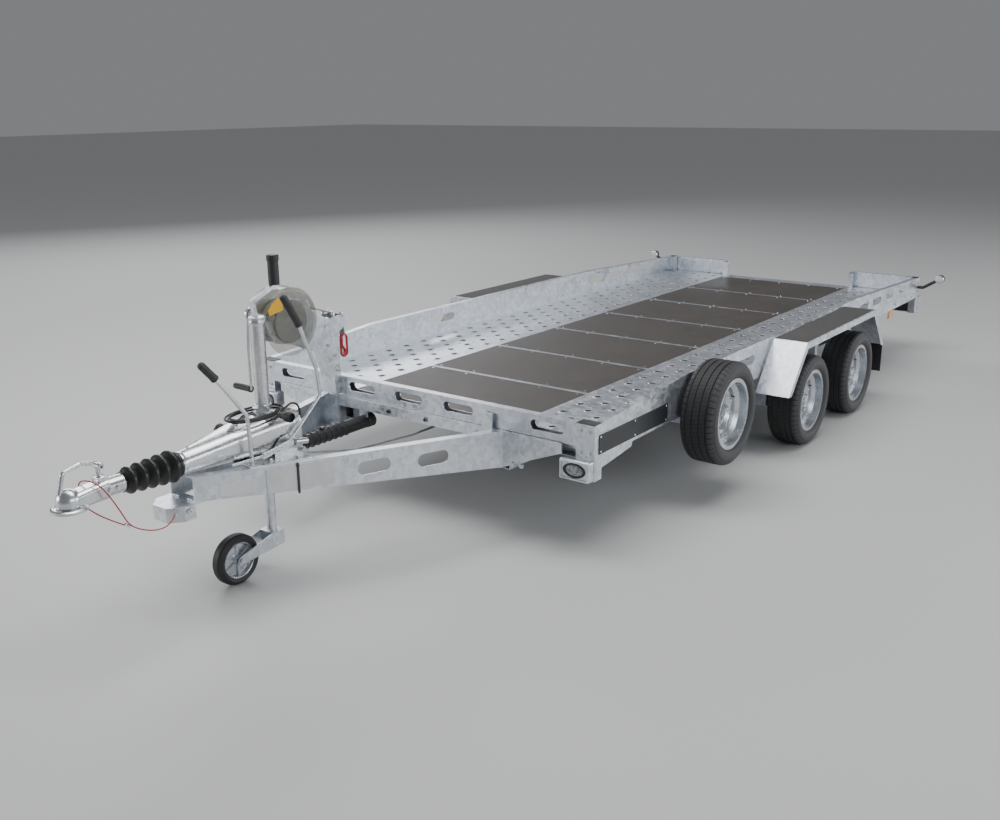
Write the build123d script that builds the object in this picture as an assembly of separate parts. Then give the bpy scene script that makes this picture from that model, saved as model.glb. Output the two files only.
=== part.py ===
"""Twin-axle tilt-bed car transporter trailer: galvanised chassis, tilting bed,
overrun coupling, jockey wheel, winch and side-mounted spare wheel.

Sizes are in millimetres. X runs forward to the coupling, Y to the left, Z up.
Lengths along X are measured from the bed's front face, and every piece is moved
at the end so that X = 0 is halfway along the trailer.
"""
import math
import os

from build123d import *

# ---------------------------------------------------------------- driving sizes
# bed
BED_LENGTH = 4735.0
BED_WIDTH = 2140.0
DECK_TOP = 480.0    # height of the loading surface
RAIL_TOP = DECK_TOP + 122.0    # top of the front rail and of the side walls' ends
WALL_TOP = DECK_TOP + 175.0    # top of the side walls between the axles' bows
SHEET = 4.0                 # folded side wall and rail sheet
FLANGE = 38.0               # folded flange on top of the side walls
CENTRE_WIDTH = 1058.0    # dark panels between the wheel tracks
PANEL_THICK = 12.0
PANEL_COUNT = 7
FIRST_JOINT_X = -799.0
PANEL_PITCH = 636.0
STRIP_WIDTH = 26.0
BEARER_DEPTH = 50.0
BEARER_WIDTH = 44.0
LONG_BEAM_DEPTH = 60.0
LONG_BEAM_WIDTH = 60.0
LONG_BEAM_OUT = 500.0       # outer face of the bed's two long beams
FRONT_RAIL_FLANGE = 42.0
SIDE_SKIRT_BOTTOM = DECK_TOP - 30.0

RAIL_FOOT = DECK_TOP + 16.0
SLOT_Z = DECK_TOP + 92.0    # middle of the side walls' lashing slots
SLOT_HEIGHT = 48.0
RAIL_SLOT_Z = DECK_TOP + 75.0
RAIL_SLOT_Y = (-820.0, -312.0, 0.0, 312.0, 820.0)
FRONT_POST_FOOT = 347.0
REAR_POST_FOOT = 330.0

# chassis
FRAME_OUT = 620.0           # outer face of the chassis long rails
FRAME_WIDTH = 60.0
FRAME_DEPTH = 95.0
FRAME_TOP = DECK_TOP - 71.0
DRAWBAR_TOP = 498.0
DRAWBAR_NOSE_X = 1339.0
DRAWBAR_NOSE_HALF = 75.0
DRAWBAR_TAIL_HALF = 588.0
DRAWBAR_RISE = 57.0         # the V rails climb this much towards the nose
DRAWBAR_NOSE_DEPTH = 100.0
DRAWBAR_TAIL_DEPTH = 175.0
DRAWBAR_SHEET = 5.0
DRAWBAR_FLANGE = 45.0
CROSS_FACE_X = 14.0         # front face of the chassis front cross-member
CROSS_THICK = 8.0
LAMP_ROOM = 162.0           # the cross-member ends this far inside the bed's sides, clear of the lamps
WING_HALF = BED_WIDTH / 2 - LAMP_ROOM
PIVOT_X = -3350.0
PIVOT_Z = DECK_TOP - 117.0
PIVOT_R = 15.0
PIN_CLEAR = 0.05

# running gear
AXLE_X = (-2085.0, -2865.0)
TYRE_R = 262.5
TYRE_WIDTH = 190.0
RIM_R = 180.0               # rim flange
BEAD_R = 165.0
RIM_WIDTH = 158.0
RIM_SHEET = 4.0
WHEEL_OUT = 1270.0          # outer plane of the tyres
DISC_INSET = 76.0           # wheel disc behind the rim's outer edge
STUD_CIRCLE = 112.0
STUD_COUNT = 5
STUD_HOLE_R = 7.5
HUB_BORE_R = 33.5
DRUM_R = 122.0
DRUM_DEPTH = 62.0
STUB_R = 20.0
BEAM_SIZE = 76.0
BEAM_LEAD = 150.0           # axle beam ahead of the wheel centre
ARM_WIDTH = 44.0

# mudguards
GUARD_TOP = 642.0
GUARD_HALF_TOP = 580.0
GUARD_HALF_FOOT = 800.0
GUARD_FOOT_Z = 374.0
GUARD_IN = 1078.0
GUARD_OUT = 1275.0
GUARD_SHEET = 3.0
GUARD_LIP = 38.0

# spare wheel
SPARE_X = -1000.0
SPARE_Z = 445.0
SPARE_OUT = 1272.0

# overrun coupling
COUPLING_Z = 600.0
DRAWTUBE_R = 27.0
HOUSING_R = 45.0
HOUSING_NOSE_X = 1350.0
HOUSING_STEP_X = 960.0
HOUSING_TAIL_X = 790.0
HOUSING_HALF = 102.0
HOUSING_TOP = 700.0
BASE_THICK = 6.0
RAIL_SEAT = 0.7             # the rails' flanges stand this much higher at their inner edges
BELLOWS_LENGTH = 250.0
HEAD_NOSE_X = 1880.0
BALL_X = 1815.0
BALL_R = 25.4
BALL_Z = 590.0

# jockey wheel
JOCKEY_X = 905.0
JOCKEY_R = 110.0
JOCKEY_WIDTH = 62.0
JOCKEY_TRAIL = 205.0
JOCKEY_OUTER_R = 30.0
JOCKEY_INNER_R = 21.0
JOCKEY_TUBE_TOP = 1100.0
JOCKEY_TUBE_FOOT = 450.0
JOCKEY_LEG_FOOT = 176.0

# winch on the bed's front rail
WINCH_Y = -500.0
WINCH_AXLE = (330.0, 940.0)
WINCH_COVER_R = 168.0
WINCH_HALF = 58.0           # outer face of the winch's cheeks from its middle
WINCH_POST_HALF = 48.0
WINCH_POST_TOP = 902.0
WINCH_CRANK = (462.0, 985.0)

# tilt ram
RAM_BASE = (-1300.0, DECK_TOP - 150.0)
RAM_EYE = (-2500.0, DECK_TOP - 90.0)
RAM_BARREL_R = 28.0
RAM_ROD_R = 14.0
RAM_PIN_R = 9.0
RAM_EYE_R = 24.0
RAM_EYE_BORE = 16.0
RAM_EAR_IN = 22.0
RAM_EAR_OUT = 30.0

# oil reservoir of the ram
PUMP_Y = -300.0
PUMP_Z = 385.0
PUMP_R = 34.0

# cables
CABLE_R = 4.5
BREAKAWAY_R = 2.5
COIL_X = 960.0
COIL_Y = 10.0

# rear end
FLAP_HEIGHT = 114.0
FLAP_THICK = 28.0
FLAP_GAP = 8.0
FLAP_HINGE_R = 7.0
FLAP_HINGE_DROP = 4.0        # hinge line below the deck's surface
FLAP_EAR_INSET = 60.0
FLAP_EAR = 8.0
SILL_DEPTH = 65.0
LAMP_DEPTH = 92.0
POST_LENGTH = 60.0

# ------------------------------------------------------------- worked-out sizes
HALF = BED_WIDTH / 2
CENTRE_HALF = CENTRE_WIDTH / 2
DECK_FOOT = DECK_TOP - PANEL_THICK
BEARER_FOOT = DECK_FOOT - BEARER_DEPTH
BEAM_FOOT = BEARER_FOOT - LONG_BEAM_DEPTH
FRAME_FOOT = FRAME_TOP - FRAME_DEPTH
WHEEL_IN = WHEEL_OUT - TYRE_WIDTH
WHEEL_MID = WHEEL_OUT - TYRE_WIDTH / 2
DISC_FACE = WHEEL_MID + RIM_WIDTH / 2 - DISC_INSET
AXLE_MID_X = sum(AXLE_X) / 2
JOINT_X = [FIRST_JOINT_X - PANEL_PITCH * i for i in range(PANEL_COUNT)]
HEAD_TAIL_X = HOUSING_NOSE_X + BELLOWS_LENGTH
TAIL_X = -BED_LENGTH - LAMP_DEPTH
ORIGIN_X = (HEAD_NOSE_X + TAIL_X) / 2
SIDES = (("left", 1), ("right", -1))
ENDS = (("front", AXLE_X[0]), ("rear", AXLE_X[1]))


# ---------------------------------------------------------------- shape helpers
def block(x0, x1, y0, y1, z0, z1):
    """Box between two corners."""
    size = (abs(x1 - x0), abs(y1 - y0), abs(z1 - z0))
    return Pos((x0 + x1) / 2, (y0 + y1) / 2, (z0 + z1) / 2) * Box(*size)


def side_plate(points, y0, y1):
    """Outline in X and Z, thickened from y0 to y1."""
    outline = make_face(Polyline(*[(x, 0, z) for x, z in points], close=True))
    return Pos(0, min(y0, y1), 0) * extrude(outline, abs(y1 - y0), dir=(0, 1, 0))


def cross_plate(points, x0, x1):
    """Outline in Y and Z, thickened from x0 to x1."""
    outline = make_face(Polyline(*[(0, y, z) for y, z in points], close=True))
    return Pos(min(x0, x1), 0, 0) * extrude(outline, abs(x1 - x0), dir=(1, 0, 0))


def flat_plate(points, z0, z1):
    """Outline in X and Y, thickened from z0 to z1."""
    outline = make_face(Polyline(*[(x, y, 0) for x, y in points], close=True))
    return Pos(0, 0, min(z0, z1)) * extrude(outline, abs(z1 - z0), dir=(0, 0, 1))


def rod(start, end, radius):
    """Round bar from one point to another."""
    a, b = Vector(*start), Vector(*end)
    plane = Plane(origin=a, z_dir=b - a)
    return plane * Cylinder(radius, (b - a).length, align=(Align.CENTER, Align.CENTER, Align.MIN))


def pipe(start, end, radius, bore):
    """Round tube from one point to another."""
    return rod(start, end, radius) - rod(start, end, bore)


def bent_bar(points, bend, radius):
    """Round bar bent through a list of points, with one bend radius."""
    path = FilletPolyline(*points, radius=bend)
    section = Plane(origin=path @ 0, z_dir=path % 0) * Circle(radius)
    return sweep(section, path=path)


def turned(profile, origin, axis):
    """Outline of (along, radius) points turned round an axis through origin."""
    face = make_face(Polyline(*[(r, 0, a) for a, r in profile], close=True))
    plane = Plane(origin=origin, z_dir=axis)
    return plane * revolve(face, axis=Axis.Z)


def oblong_x(x, y, z, length, height, depth):
    """Slot cutter through a side wall, long way along X."""
    cutter = extrude(Plane.XZ * SlotOverall(length, height), depth, both=True)
    return Pos(x, y, z) * cutter


def oblong_y(x, y, z, length, height, depth):
    """Slot cutter through a cross rail, long way along Y."""
    cutter = extrude(Plane.YZ * SlotOverall(length, height), depth, both=True)
    return Pos(x, y, z) * cutter


def other_side(shape):
    """The same piece on the right-hand side."""
    return mirror(shape, about=Plane.XZ)


def pair(shape):
    return [shape, other_side(shape)]


def save(name, shapes):
    """Write one node, moved so that X = 0 is halfway along the trailer."""
    solids = []
    for shape in shapes if isinstance(shapes, (list, tuple)) else [shapes]:
        solids.extend((Pos(-ORIGIN_X, 0, 0) * shape).solids())
    node = solids[0] if len(solids) == 1 else Compound(children=solids)
    export_step(node, f"parts/{name}.step")


# ------------------------------------------------------------------- the bed
WALL_LINE = [(0, RAIL_TOP), (-500, (RAIL_TOP + WALL_TOP) / 2), (-850, WALL_TOP), (-3300, WALL_TOP),
             (-BED_LENGTH, RAIL_TOP - 2)]
WALL_SLOTS = [(-1535.0, 256.0), (-3468.0, 181.0), (-3731.0, 189.0), (-4025.0, 167.0), (-4289.0, 158.0)]


def bed_side_rail():
    """Left side wall: folded sheet with a top flange, a foot flange and lashing slots."""
    low = SIDE_SKIRT_BOTTOM
    foot = [(-BED_LENGTH, low), (-330, low), (-316, low - 24), (-60, low - 52), (0, low - 52)]
    web = side_plate(WALL_LINE + foot, HALF - SHEET, HALF)
    web -= block(-60, 10, HALF - 10, HALF + 10, 300, 700)
    top = WALL_LINE + [(x, z - SHEET) for x, z in reversed(WALL_LINE)]
    flange = side_plate(top, HALF - FLANGE, HALF)
    flange -= block(-60, 10, HALF - 100, HALF + 10, 300, 700)
    foot_flange = block(-BED_LENGTH, -340, HALF - 50, HALF, low, low + SHEET)
    wall = web + flange + foot_flange
    for x, length in WALL_SLOTS:
        wall -= oblong_x(x, HALF, SLOT_Z, length, SLOT_HEIGHT, 20)
    return wall - block(-BED_LENGTH - 1, -BED_LENGTH + 60, HALF - 100, HALF + 10, 300, 700)


def bed_front_rail():
    """Folded rail across the bed's front, with its oblong slots."""
    inner = HALF - 96
    web = block(-SHEET, 0, -inner, inner, RAIL_FOOT, RAIL_TOP)
    top = block(-FRONT_RAIL_FLANGE, 0, -inner, inner, RAIL_TOP - SHEET, RAIL_TOP)
    lip = block(-FRONT_RAIL_FLANGE, -FRONT_RAIL_FLANGE + SHEET, -inner, inner, DECK_FOOT, RAIL_TOP)
    foot = block(-FRONT_RAIL_FLANGE, 0, -inner, inner, RAIL_FOOT, RAIL_FOOT + SHEET)
    rail = web + top + lip + foot
    for y in RAIL_SLOT_Y:
        rail -= oblong_y(0, y, RAIL_SLOT_Z, 180, 46, 60)
    return rail


def corner_posts():
    """Hollow posts at the bed's four corners and beside the centre opening at the rear."""
    def post(x0, x1, y0, y1, z0, z1):
        outer = block(x0, x1, y0, y1, z0, z1)
        return outer - block(x0 + SHEET, x1 - SHEET, y0 + SHEET, y1 - SHEET, z0 - 1, z1 + 1)
    front = post(-60, 0, HALF - 96, HALF, FRONT_POST_FOOT, RAIL_TOP)
    rear = post(-BED_LENGTH, -BED_LENGTH + 60, HALF - 50, HALF, REAR_POST_FOOT, RAIL_TOP)
    inner = post(-BED_LENGTH, -BED_LENGTH + 30, CENTRE_HALF, CENTRE_HALF + 34, DECK_TOP, RAIL_TOP - 12)
    return pair(front) + pair(rear) + pair(inner)


def bed_bearers():
    """Cross bearers under every panel joint, each with its strip between the panels."""
    bearers = []
    for x in [-POST_LENGTH - BEARER_WIDTH / 2] + JOINT_X[:-1]:
        span = HALF - 50
        beam = block(x - BEARER_WIDTH / 2, x + BEARER_WIDTH / 2, -span, span, BEARER_FOOT, DECK_FOOT)
        core = block(x - BEARER_WIDTH / 2 + SHEET, x + BEARER_WIDTH, -span - 1, span + 1,
                     BEARER_FOOT + SHEET, DECK_FOOT - SHEET)
        beam -= core
        if x in JOINT_X:
            beam += block(x - STRIP_WIDTH / 2, x + STRIP_WIDTH / 2, -CENTRE_HALF, CENTRE_HALF,
                          DECK_FOOT, DECK_TOP)
        bearers.append(beam)
    return bearers


def deck_panels():
    """Dark centre panels, one between each two strips."""
    edges = [-FRONT_RAIL_FLANGE] + JOINT_X
    panels = []
    for i in range(PANEL_COUNT):
        front = edges[i] - (STRIP_WIDTH / 2 if i else 0)
        rear = edges[i + 1] + (STRIP_WIDTH / 2 if i + 1 < PANEL_COUNT else 0)
        panels.append(block(rear, front, -CENTRE_HALF, CENTRE_HALF, DECK_FOOT, DECK_TOP))
    return panels


def track_plate():
    """Left wheel track: sheet with its edges folded down on to the bearers."""
    y0, y1 = CENTRE_HALF, HALF - SHEET
    x0, x1 = JOINT_X[-1], -FRONT_RAIL_FLANGE
    plate = block(x0, x1, y0, y1, DECK_FOOT, DECK_TOP)
    plate -= block(x0 - 1, x1 + 1, y0 + SHEET, y1 - SHEET, DECK_FOOT - 1, DECK_TOP - SHEET)
    plate -= block(-POST_LENGTH, x1 + 1, HALF - 96, HALF, DECK_FOOT - 1, DECK_TOP + 1)
    return plate - block(x0 - 1, -BED_LENGTH + POST_LENGTH, HALF - 50, HALF, DECK_FOOT - 1, DECK_TOP + 1)


def bed_long_beams():
    """Two box beams under the bearers, with the tilt pivot's lugs and the ram's ears."""
    y0, y1 = LONG_BEAM_OUT - LONG_BEAM_WIDTH, LONG_BEAM_OUT
    beam = block(JOINT_X[-1], -POST_LENGTH, y0, y1, BEAM_FOOT, BEARER_FOOT)
    beam -= block(JOINT_X[-1] - 1, 1 - POST_LENGTH, y0 + SHEET, y1 - SHEET, BEAM_FOOT + SHEET, BEARER_FOOT - SHEET)
    lug = side_plate([(PIVOT_X - 70, BEARER_FOOT - 4), (PIVOT_X - 70, BEAM_FOOT), (PIVOT_X - 28, PIVOT_Z - 34),
                      (PIVOT_X + 28, PIVOT_Z - 34), (PIVOT_X + 70, BEAM_FOOT), (PIVOT_X + 70, BEARER_FOOT - 4)],
                     y1, y1 + 14)
    lug -= rod((PIVOT_X, y1 - 1, PIVOT_Z), (PIVOT_X, y1 + 40, PIVOT_Z), PIVOT_R + PIN_CLEAR)
    return pair(beam + lug)


def bed_rear_sill():
    """Channel across the rear end, with the bright lip at the centre opening."""
    x0, x1 = -BED_LENGTH, JOINT_X[-1]
    sill = block(x0, x1, -HALF + 50, HALF - 50, DECK_TOP - SILL_DEPTH, DECK_TOP)
    sill -= block(x0 + SHEET, x1 + 1, -HALF, HALF, DECK_TOP - SILL_DEPTH + SHEET, DECK_TOP - SHEET)
    lip = block(x0 - 34, x0, -CENTRE_HALF + 30, CENTRE_HALF - 30, DECK_TOP - 14, DECK_TOP - 6)
    return [sill + lip] + flap_ears() + [other_side(ear) for ear in flap_ears()]


def flap_hinge():
    """Place of the flaps' hinge line in X and Z."""
    return -BED_LENGTH - FLAP_GAP - FLAP_THICK / 2, DECK_TOP - FLAP_HINGE_DROP


def flap_ears():
    """Ears behind the rear sill that carry the left flap's hinge rod."""
    x, z = flap_hinge()
    ears = []
    for y in (CENTRE_HALF + FLAP_EAR_INSET, HALF - FLAP_EAR_INSET - FLAP_EAR):
        ear = side_plate([(-BED_LENGTH, z - 18), (-BED_LENGTH, z + 3.5), (x, z + 12), (x - 12, z), (x - 4, z - 12)],
                         y, y + FLAP_EAR)
        ears.append(ear - rod((x, y - 1, z), (x, y + FLAP_EAR + 1, z), FLAP_HINGE_R + PIN_CLEAR))
    return ears


def rear_flap():
    """Left loading flap: folded board on its hinge rod."""
    x, z = flap_hinge()
    x0, x1 = x - FLAP_THICK / 2, x + FLAP_THICK / 2
    y0, y1 = CENTRE_HALF + 4, HALF - 12
    foot = DECK_TOP + 4
    board = block(x0, x1, y0, y1, foot, foot + FLAP_HEIGHT)
    board -= block(x0 - 1, x1 - SHEET, y0 + 30, y1 - 30, foot + 26, foot + FLAP_HEIGHT - 14)
    board += block(x - 5, x + 5, y0, y1, z, foot + 1)
    for y in (CENTRE_HALF + FLAP_EAR_INSET, HALF - FLAP_EAR_INSET - FLAP_EAR):
        board -= block(x0 - 1, x1 + 1, y - 5, y + FLAP_EAR + 5, z - 1, foot + 18)
    return board + rod((x, y0, z), (x, y1, z), FLAP_HINGE_R)


# ------------------------------------------------------------------ the chassis
def rails_top(x):
    """Height of the V rails' top at a place along the drawbar."""
    return DRAWBAR_TOP + DRAWBAR_RISE * (x - CROSS_FACE_X) / (DRAWBAR_NOSE_X - CROSS_FACE_X)


def base_top(x):
    """Top of the housing's base plate, which lies on the V rails."""
    return rails_top(x) + RAIL_SEAT + BASE_THICK


def rails_outer_y(x):
    """Outer face of the left V rail at a place along the drawbar."""
    share = (DRAWBAR_NOSE_X - x) / (DRAWBAR_NOSE_X - CROSS_FACE_X)
    return DRAWBAR_NOSE_HALF + (DRAWBAR_TAIL_HALF - DRAWBAR_NOSE_HALF) * share


def drawbar_rail():
    """Left rail of the V drawbar: folded channel that deepens towards the bed."""
    run_x = DRAWBAR_NOSE_X - CROSS_FACE_X
    run_y = DRAWBAR_TAIL_HALF - DRAWBAR_NOSE_HALF
    length = math.hypot(run_x, run_y)
    s0, s1 = -120, length + 120
    fall = DRAWBAR_RISE / length
    deepen = (DRAWBAR_TAIL_DEPTH - DRAWBAR_NOSE_DEPTH) / length

    def top(s):
        return DRAWBAR_TOP + DRAWBAR_RISE - fall * s

    def foot(s):
        return top(s) - DRAWBAR_NOSE_DEPTH - deepen * s
    t = DRAWBAR_SHEET
    rail = side_plate([(s0, top(s0)), (s1, top(s1)), (s1, foot(s1)), (s0, foot(s0))], 0, t)
    for edge, lift in ((top, -t), (foot, t)):
        strip = [(s0, edge(s0)), (s1, edge(s1)), (s1, edge(s1) + lift), (s0, edge(s0) + lift)]
        rail += side_plate(strip, 0, DRAWBAR_FLANGE)
    for s in (771.0, 1057.0):
        rail -= oblong_x(s, 0, (top(s) + foot(s)) / 2, 155, 60, 20)
    turn = math.degrees(math.atan2(run_y, -run_x))
    rail = Pos(DRAWBAR_NOSE_X, DRAWBAR_NOSE_HALF, 0) * Rot(0, 0, turn) * rail
    return rail & block(CROSS_FACE_X, DRAWBAR_NOSE_X, 0, 900, 0, 900)


def nose_bracket():
    """Plate under the V rails' noses with its turned-down skirt and the cable's boss."""
    x0, x1 = DRAWBAR_NOSE_X - 40, DRAWBAR_NOSE_X + 112
    top = rails_top(DRAWBAR_NOSE_X) - DRAWBAR_NOSE_DEPTH

    def outline(inset):
        half, tip = 88 - inset, 40 - inset * 0.4
        side = [(x0, half), (x1 - 52, half), (x1 - inset, tip)]
        return side + [(x, -y) for x, y in reversed(side)]
    bracket = flat_plate(outline(0), top - 6, top)
    skirt = flat_plate(outline(0), top - 60, top - 5) - flat_plate(outline(5), top - 61, top - 5)
    skirt -= block(x0 - 1, DRAWBAR_NOSE_X + 8, -100, 100, top - 61, top - 6)
    start, end = breakaway_boss()
    return bracket + skirt + rod(start, end, 5)


def breakaway_boss():
    """Ends of the small boss that the breakaway cable comes out of."""
    x = DRAWBAR_NOSE_X + 86
    z = rails_top(DRAWBAR_NOSE_X) - DRAWBAR_NOSE_DEPTH - 27
    return (x - 2.5, 61.5, z), (x + 6.8, 67.4, z - 1)


def drawbar():
    """The V rails joined at the nose, with the gland of the lighting cable."""
    rail = drawbar_rail()
    x, y, z = LIGHT_CABLE[-1]
    gland = rod((x, y, z), (x, 3 - rails_outer_y(x), z), 8)
    return rail + other_side(rail) + nose_bracket() + gland


def front_crossmember():
    """Tapered plate across the chassis front, its two gussets and the pump's hanger."""
    x0, x1 = CROSS_FACE_X - CROSS_THICK, CROSS_FACE_X
    foot = FRAME_FOOT
    shallow = DRAWBAR_TOP - 53
    half = [(0, shallow), (470, shallow), (470, foot), (560, foot), (600, foot + 14), (729, 382), (WING_HALF, 452),
            (WING_HALF, DRAWBAR_TOP)]
    member = cross_plate(half + [(-y, z) for y, z in reversed(half[1:])], x0, x1)
    inner = rails_outer_y(CROSS_FACE_X) - DRAWBAR_FLANGE - 12
    member += block(x1, x1 + 10, 470, inner, foot, RAIL_TOP - 32)
    member += block(x1, x1 + 10, -470, -inner, foot, DRAWBAR_TOP)
    hanger = block(x0, x1, PUMP_Y - 26, PUMP_Y + 26, PUMP_Z + PUMP_R - 8, shallow + 1)
    return member + (hanger - rod((x0 - 1, PUMP_Y, PUMP_Z), (x1 + 1, PUMP_Y, PUMP_Z), PUMP_R))


def chassis_rails():
    """Long rails under the bed, with the bed's rests and the tilt pivot's pins."""
    y0, y1 = FRAME_OUT - FRAME_WIDTH, FRAME_OUT
    tail, head = PIVOT_X - 130, CROSS_FACE_X - CROSS_THICK
    rail = block(tail, head, y0, y1, FRAME_FOOT, FRAME_TOP)
    rail -= block(tail - 1, head + 1, y0 + SHEET, y1 - SHEET, FRAME_FOOT + SHEET, FRAME_TOP - SHEET)
    rail += rod((PIVOT_X, LONG_BEAM_OUT + 0.5, PIVOT_Z), (PIVOT_X, y0 + 2, PIVOT_Z), PIVOT_R)
    for x in JOINT_X[:2]:
        rail += block(x - 20, x + 20, y0 + 10, y1 - 10, FRAME_TOP, BEARER_FOOT - 0.3)
    rail -= block(tail - 1, PIVOT_X - 20, y0 - 1, y1 + 1, FRAME_TOP - 24, FRAME_TOP + 1)
    rail += block(tail, PIVOT_X - 20, y0, y1, FRAME_TOP - 28, FRAME_TOP - 24)
    return pair(rail)


def chassis_cross_tubes():
    """Tubes between the long rails, the ram's ears on one of them, and the side arms."""
    inner = FRAME_OUT - FRAME_WIDTH
    x, z = RAM_BASE
    tubes = [block(cx - 25, cx + 25, -inner, inner, FRAME_FOOT, FRAME_FOOT + 36)
             for cx in (-600, x + 90, AXLE_MID_X, PIVOT_X + 130)]
    ear = side_plate([(x + 66, FRAME_FOOT + 30), (x + 112, FRAME_FOOT + 30), (x + 112, z + 22), (x - 18, z + 22),
                      (x - 18, z - 20), (x + 66, z - 20)], RAM_EAR_IN, RAM_EAR_OUT)
    tubes[1] += ear + other_side(ear) + rod((x, -RAM_EAR_OUT, z), (x, RAM_EAR_OUT, z), RAM_PIN_R)
    return tubes + pair(guard_arm()) + [spare_arm()]


def guard_arm():
    """Stay from the left long rail to the mudguard, up between the two wheels."""
    x0, x1 = AXLE_MID_X - 25, AXLE_MID_X + 25
    arm = block(x0, x1, FRAME_OUT, GUARD_IN + 40, 352, 392)
    return arm + block(x0, x1, GUARD_IN, GUARD_IN + 40, 352, GUARD_TOP - GUARD_SHEET)


def spare_arm():
    """Carrier arm of the spare wheel."""
    disc_back = SPARE_OUT - TYRE_WIDTH / 2 + RIM_WIDTH / 2 - DISC_INSET - 6
    arm = block(SPARE_X - 30, SPARE_X + 30, FRAME_OUT, disc_back - 8, 356, 400)
    return arm + block(SPARE_X - 75, SPARE_X + 75, disc_back - 8, disc_back, 356, SPARE_Z + 75)


def axle_beams():
    """Two axle beams with their trailing arms, stub axles and brake backplates."""
    axles = []
    for _, x in ENDS:
        beam_x = x + BEAM_LEAD
        top = FRAME_FOOT
        mid = top - BEAM_SIZE / 2
        reach = HALF - 60
        axle = block(beam_x - BEAM_SIZE / 2, beam_x + BEAM_SIZE / 2, -reach, reach, top - BEAM_SIZE, top)
        for side in (1, -1):
            arm = side_plate([(beam_x + 40, mid + 38), (beam_x + 40, mid - 38), (x - 34, TYRE_R - 34),
                              (x - 34, TYRE_R + 34)], side * reach, side * (reach + ARM_WIDTH))
            back = rod((x, side * (DISC_FACE - DRUM_DEPTH - 14), TYRE_R),
                       (x, side * (DISC_FACE - DRUM_DEPTH - 6), TYRE_R), DRUM_R + 6)
            stub = rod((x, side * (reach + ARM_WIDTH - 2), TYRE_R), (x, side * (DISC_FACE - 12), TYRE_R), STUB_R)
            axle += arm + back + stub
        axles.append(axle)
    return axles


# ----------------------------------------------------------------- road wheels
def tyre(centre):
    """Hollow tyre with rounded shoulders, turned round its axle."""
    half = TYRE_WIDTH / 2
    seat = RIM_WIDTH / 2 - RIM_SHEET - 0.3
    bead = BEAD_R + 0.3
    crown = half - 32
    outside = Polyline((bead, seat), (RIM_R + 2, seat), (RIM_R + 10, half - 8))
    outside += ThreePointArc((RIM_R + 10, half - 8), (RIM_R + 38, half), (TYRE_R - 20, half - 9))
    outside += ThreePointArc((TYRE_R - 20, half - 9), (TYRE_R - 7, half - 16), (TYRE_R, crown))
    inside = Polyline((TYRE_R - 14, crown), (TYRE_R - 26, half - 20), (RIM_R + 16, half - 19),
                      (RIM_R - 2, seat - 10), (bead, seat - 16))
    edge = outside + Line((TYRE_R, crown), (TYRE_R, -crown)) + mirror(outside, about=Plane.XZ)
    edge += Line((bead, -seat), (bead, 16 - seat)) + mirror(inside, about=Plane.XZ)
    edge += Line((TYRE_R - 14, -crown), (TYRE_R - 14, crown)) + inside
    edge += Line((bead, seat - 16), (bead, seat))
    section = make_face(edge)
    ring = revolve(section, axis=Axis.Y)
    return Pos(*centre) * ring


def wheel_rim(centre, side):
    """Steel rim: rolled barrel with its two flanges and a dished, drilled disc."""
    half = RIM_WIDTH / 2
    t = RIM_SHEET
    barrel = [(-half, RIM_R), (-half + t, RIM_R), (-half + t, BEAD_R), (-half + 34, BEAD_R - 2),
              (-half + 46, BEAD_R - 24), (half - 60, BEAD_R - 24), (half - 42, BEAD_R - 2),
              (half - t, BEAD_R), (half - t, RIM_R), (half, RIM_R), (half, BEAD_R - t),
              (half - 40, BEAD_R - t - 2), (half - 57, BEAD_R - 24 - t), (-half + 44, BEAD_R - 24 - t),
              (-half + 31, BEAD_R - t - 2), (-half, BEAD_R - t)]
    rim = turned(barrel, (0, 0, 0), (0, side, 0))
    face = half - DISC_INSET
    dish = [(face - 6, HUB_BORE_R), (face, HUB_BORE_R), (face, 78), (face + 16, 96), (face + 16, 112),
            (face + 2, BEAD_R - 24 - t + 1), (face - 5, BEAD_R - 24 - t + 1), (face + 9, 108),
            (face + 9, 98), (face - 6, 81)]
    rim += turned(dish, (0, 0, 0), (0, side, 0))
    for i in range(STUD_COUNT):
        a = math.radians(90 + 360 * i / STUD_COUNT)
        x, z = STUD_CIRCLE / 2 * math.cos(a), STUD_CIRCLE / 2 * math.sin(a)
        rim -= rod((x, -200, z), (x, 200, z), STUD_HOLE_R)
    return Pos(*centre) * rim


def hub_drum(x, side):
    """Brake drum and hub that carry one wheel, turning on the stub axle."""
    face = side * (DISC_FACE - 6)
    back = side * (DISC_FACE - DRUM_DEPTH)
    drum = rod((x, back, TYRE_R), (x, face, TYRE_R), DRUM_R)
    drum -= rod((x, back, TYRE_R), (x, side * (DISC_FACE - 14), TYRE_R), DRUM_R - 12)
    hub = rod((x, back, TYRE_R), (x, side * (DISC_FACE + 34), TYRE_R), HUB_BORE_R - 0.5)
    drum += hub
    drum -= rod((x, back - side, TYRE_R), (x, side * (DISC_FACE - 11.7), TYRE_R), STUB_R + PIN_CLEAR)
    for i in range(STUD_COUNT):
        a = math.radians(90 + 360 * i / STUD_COUNT)
        sx, sz = x + STUD_CIRCLE / 2 * math.cos(a), TYRE_R + STUD_CIRCLE / 2 * math.sin(a)
        drum += rod((sx, side * (DISC_FACE - 10), sz), (sx, side * (DISC_FACE + 22), sz), 6)
    return drum


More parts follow.
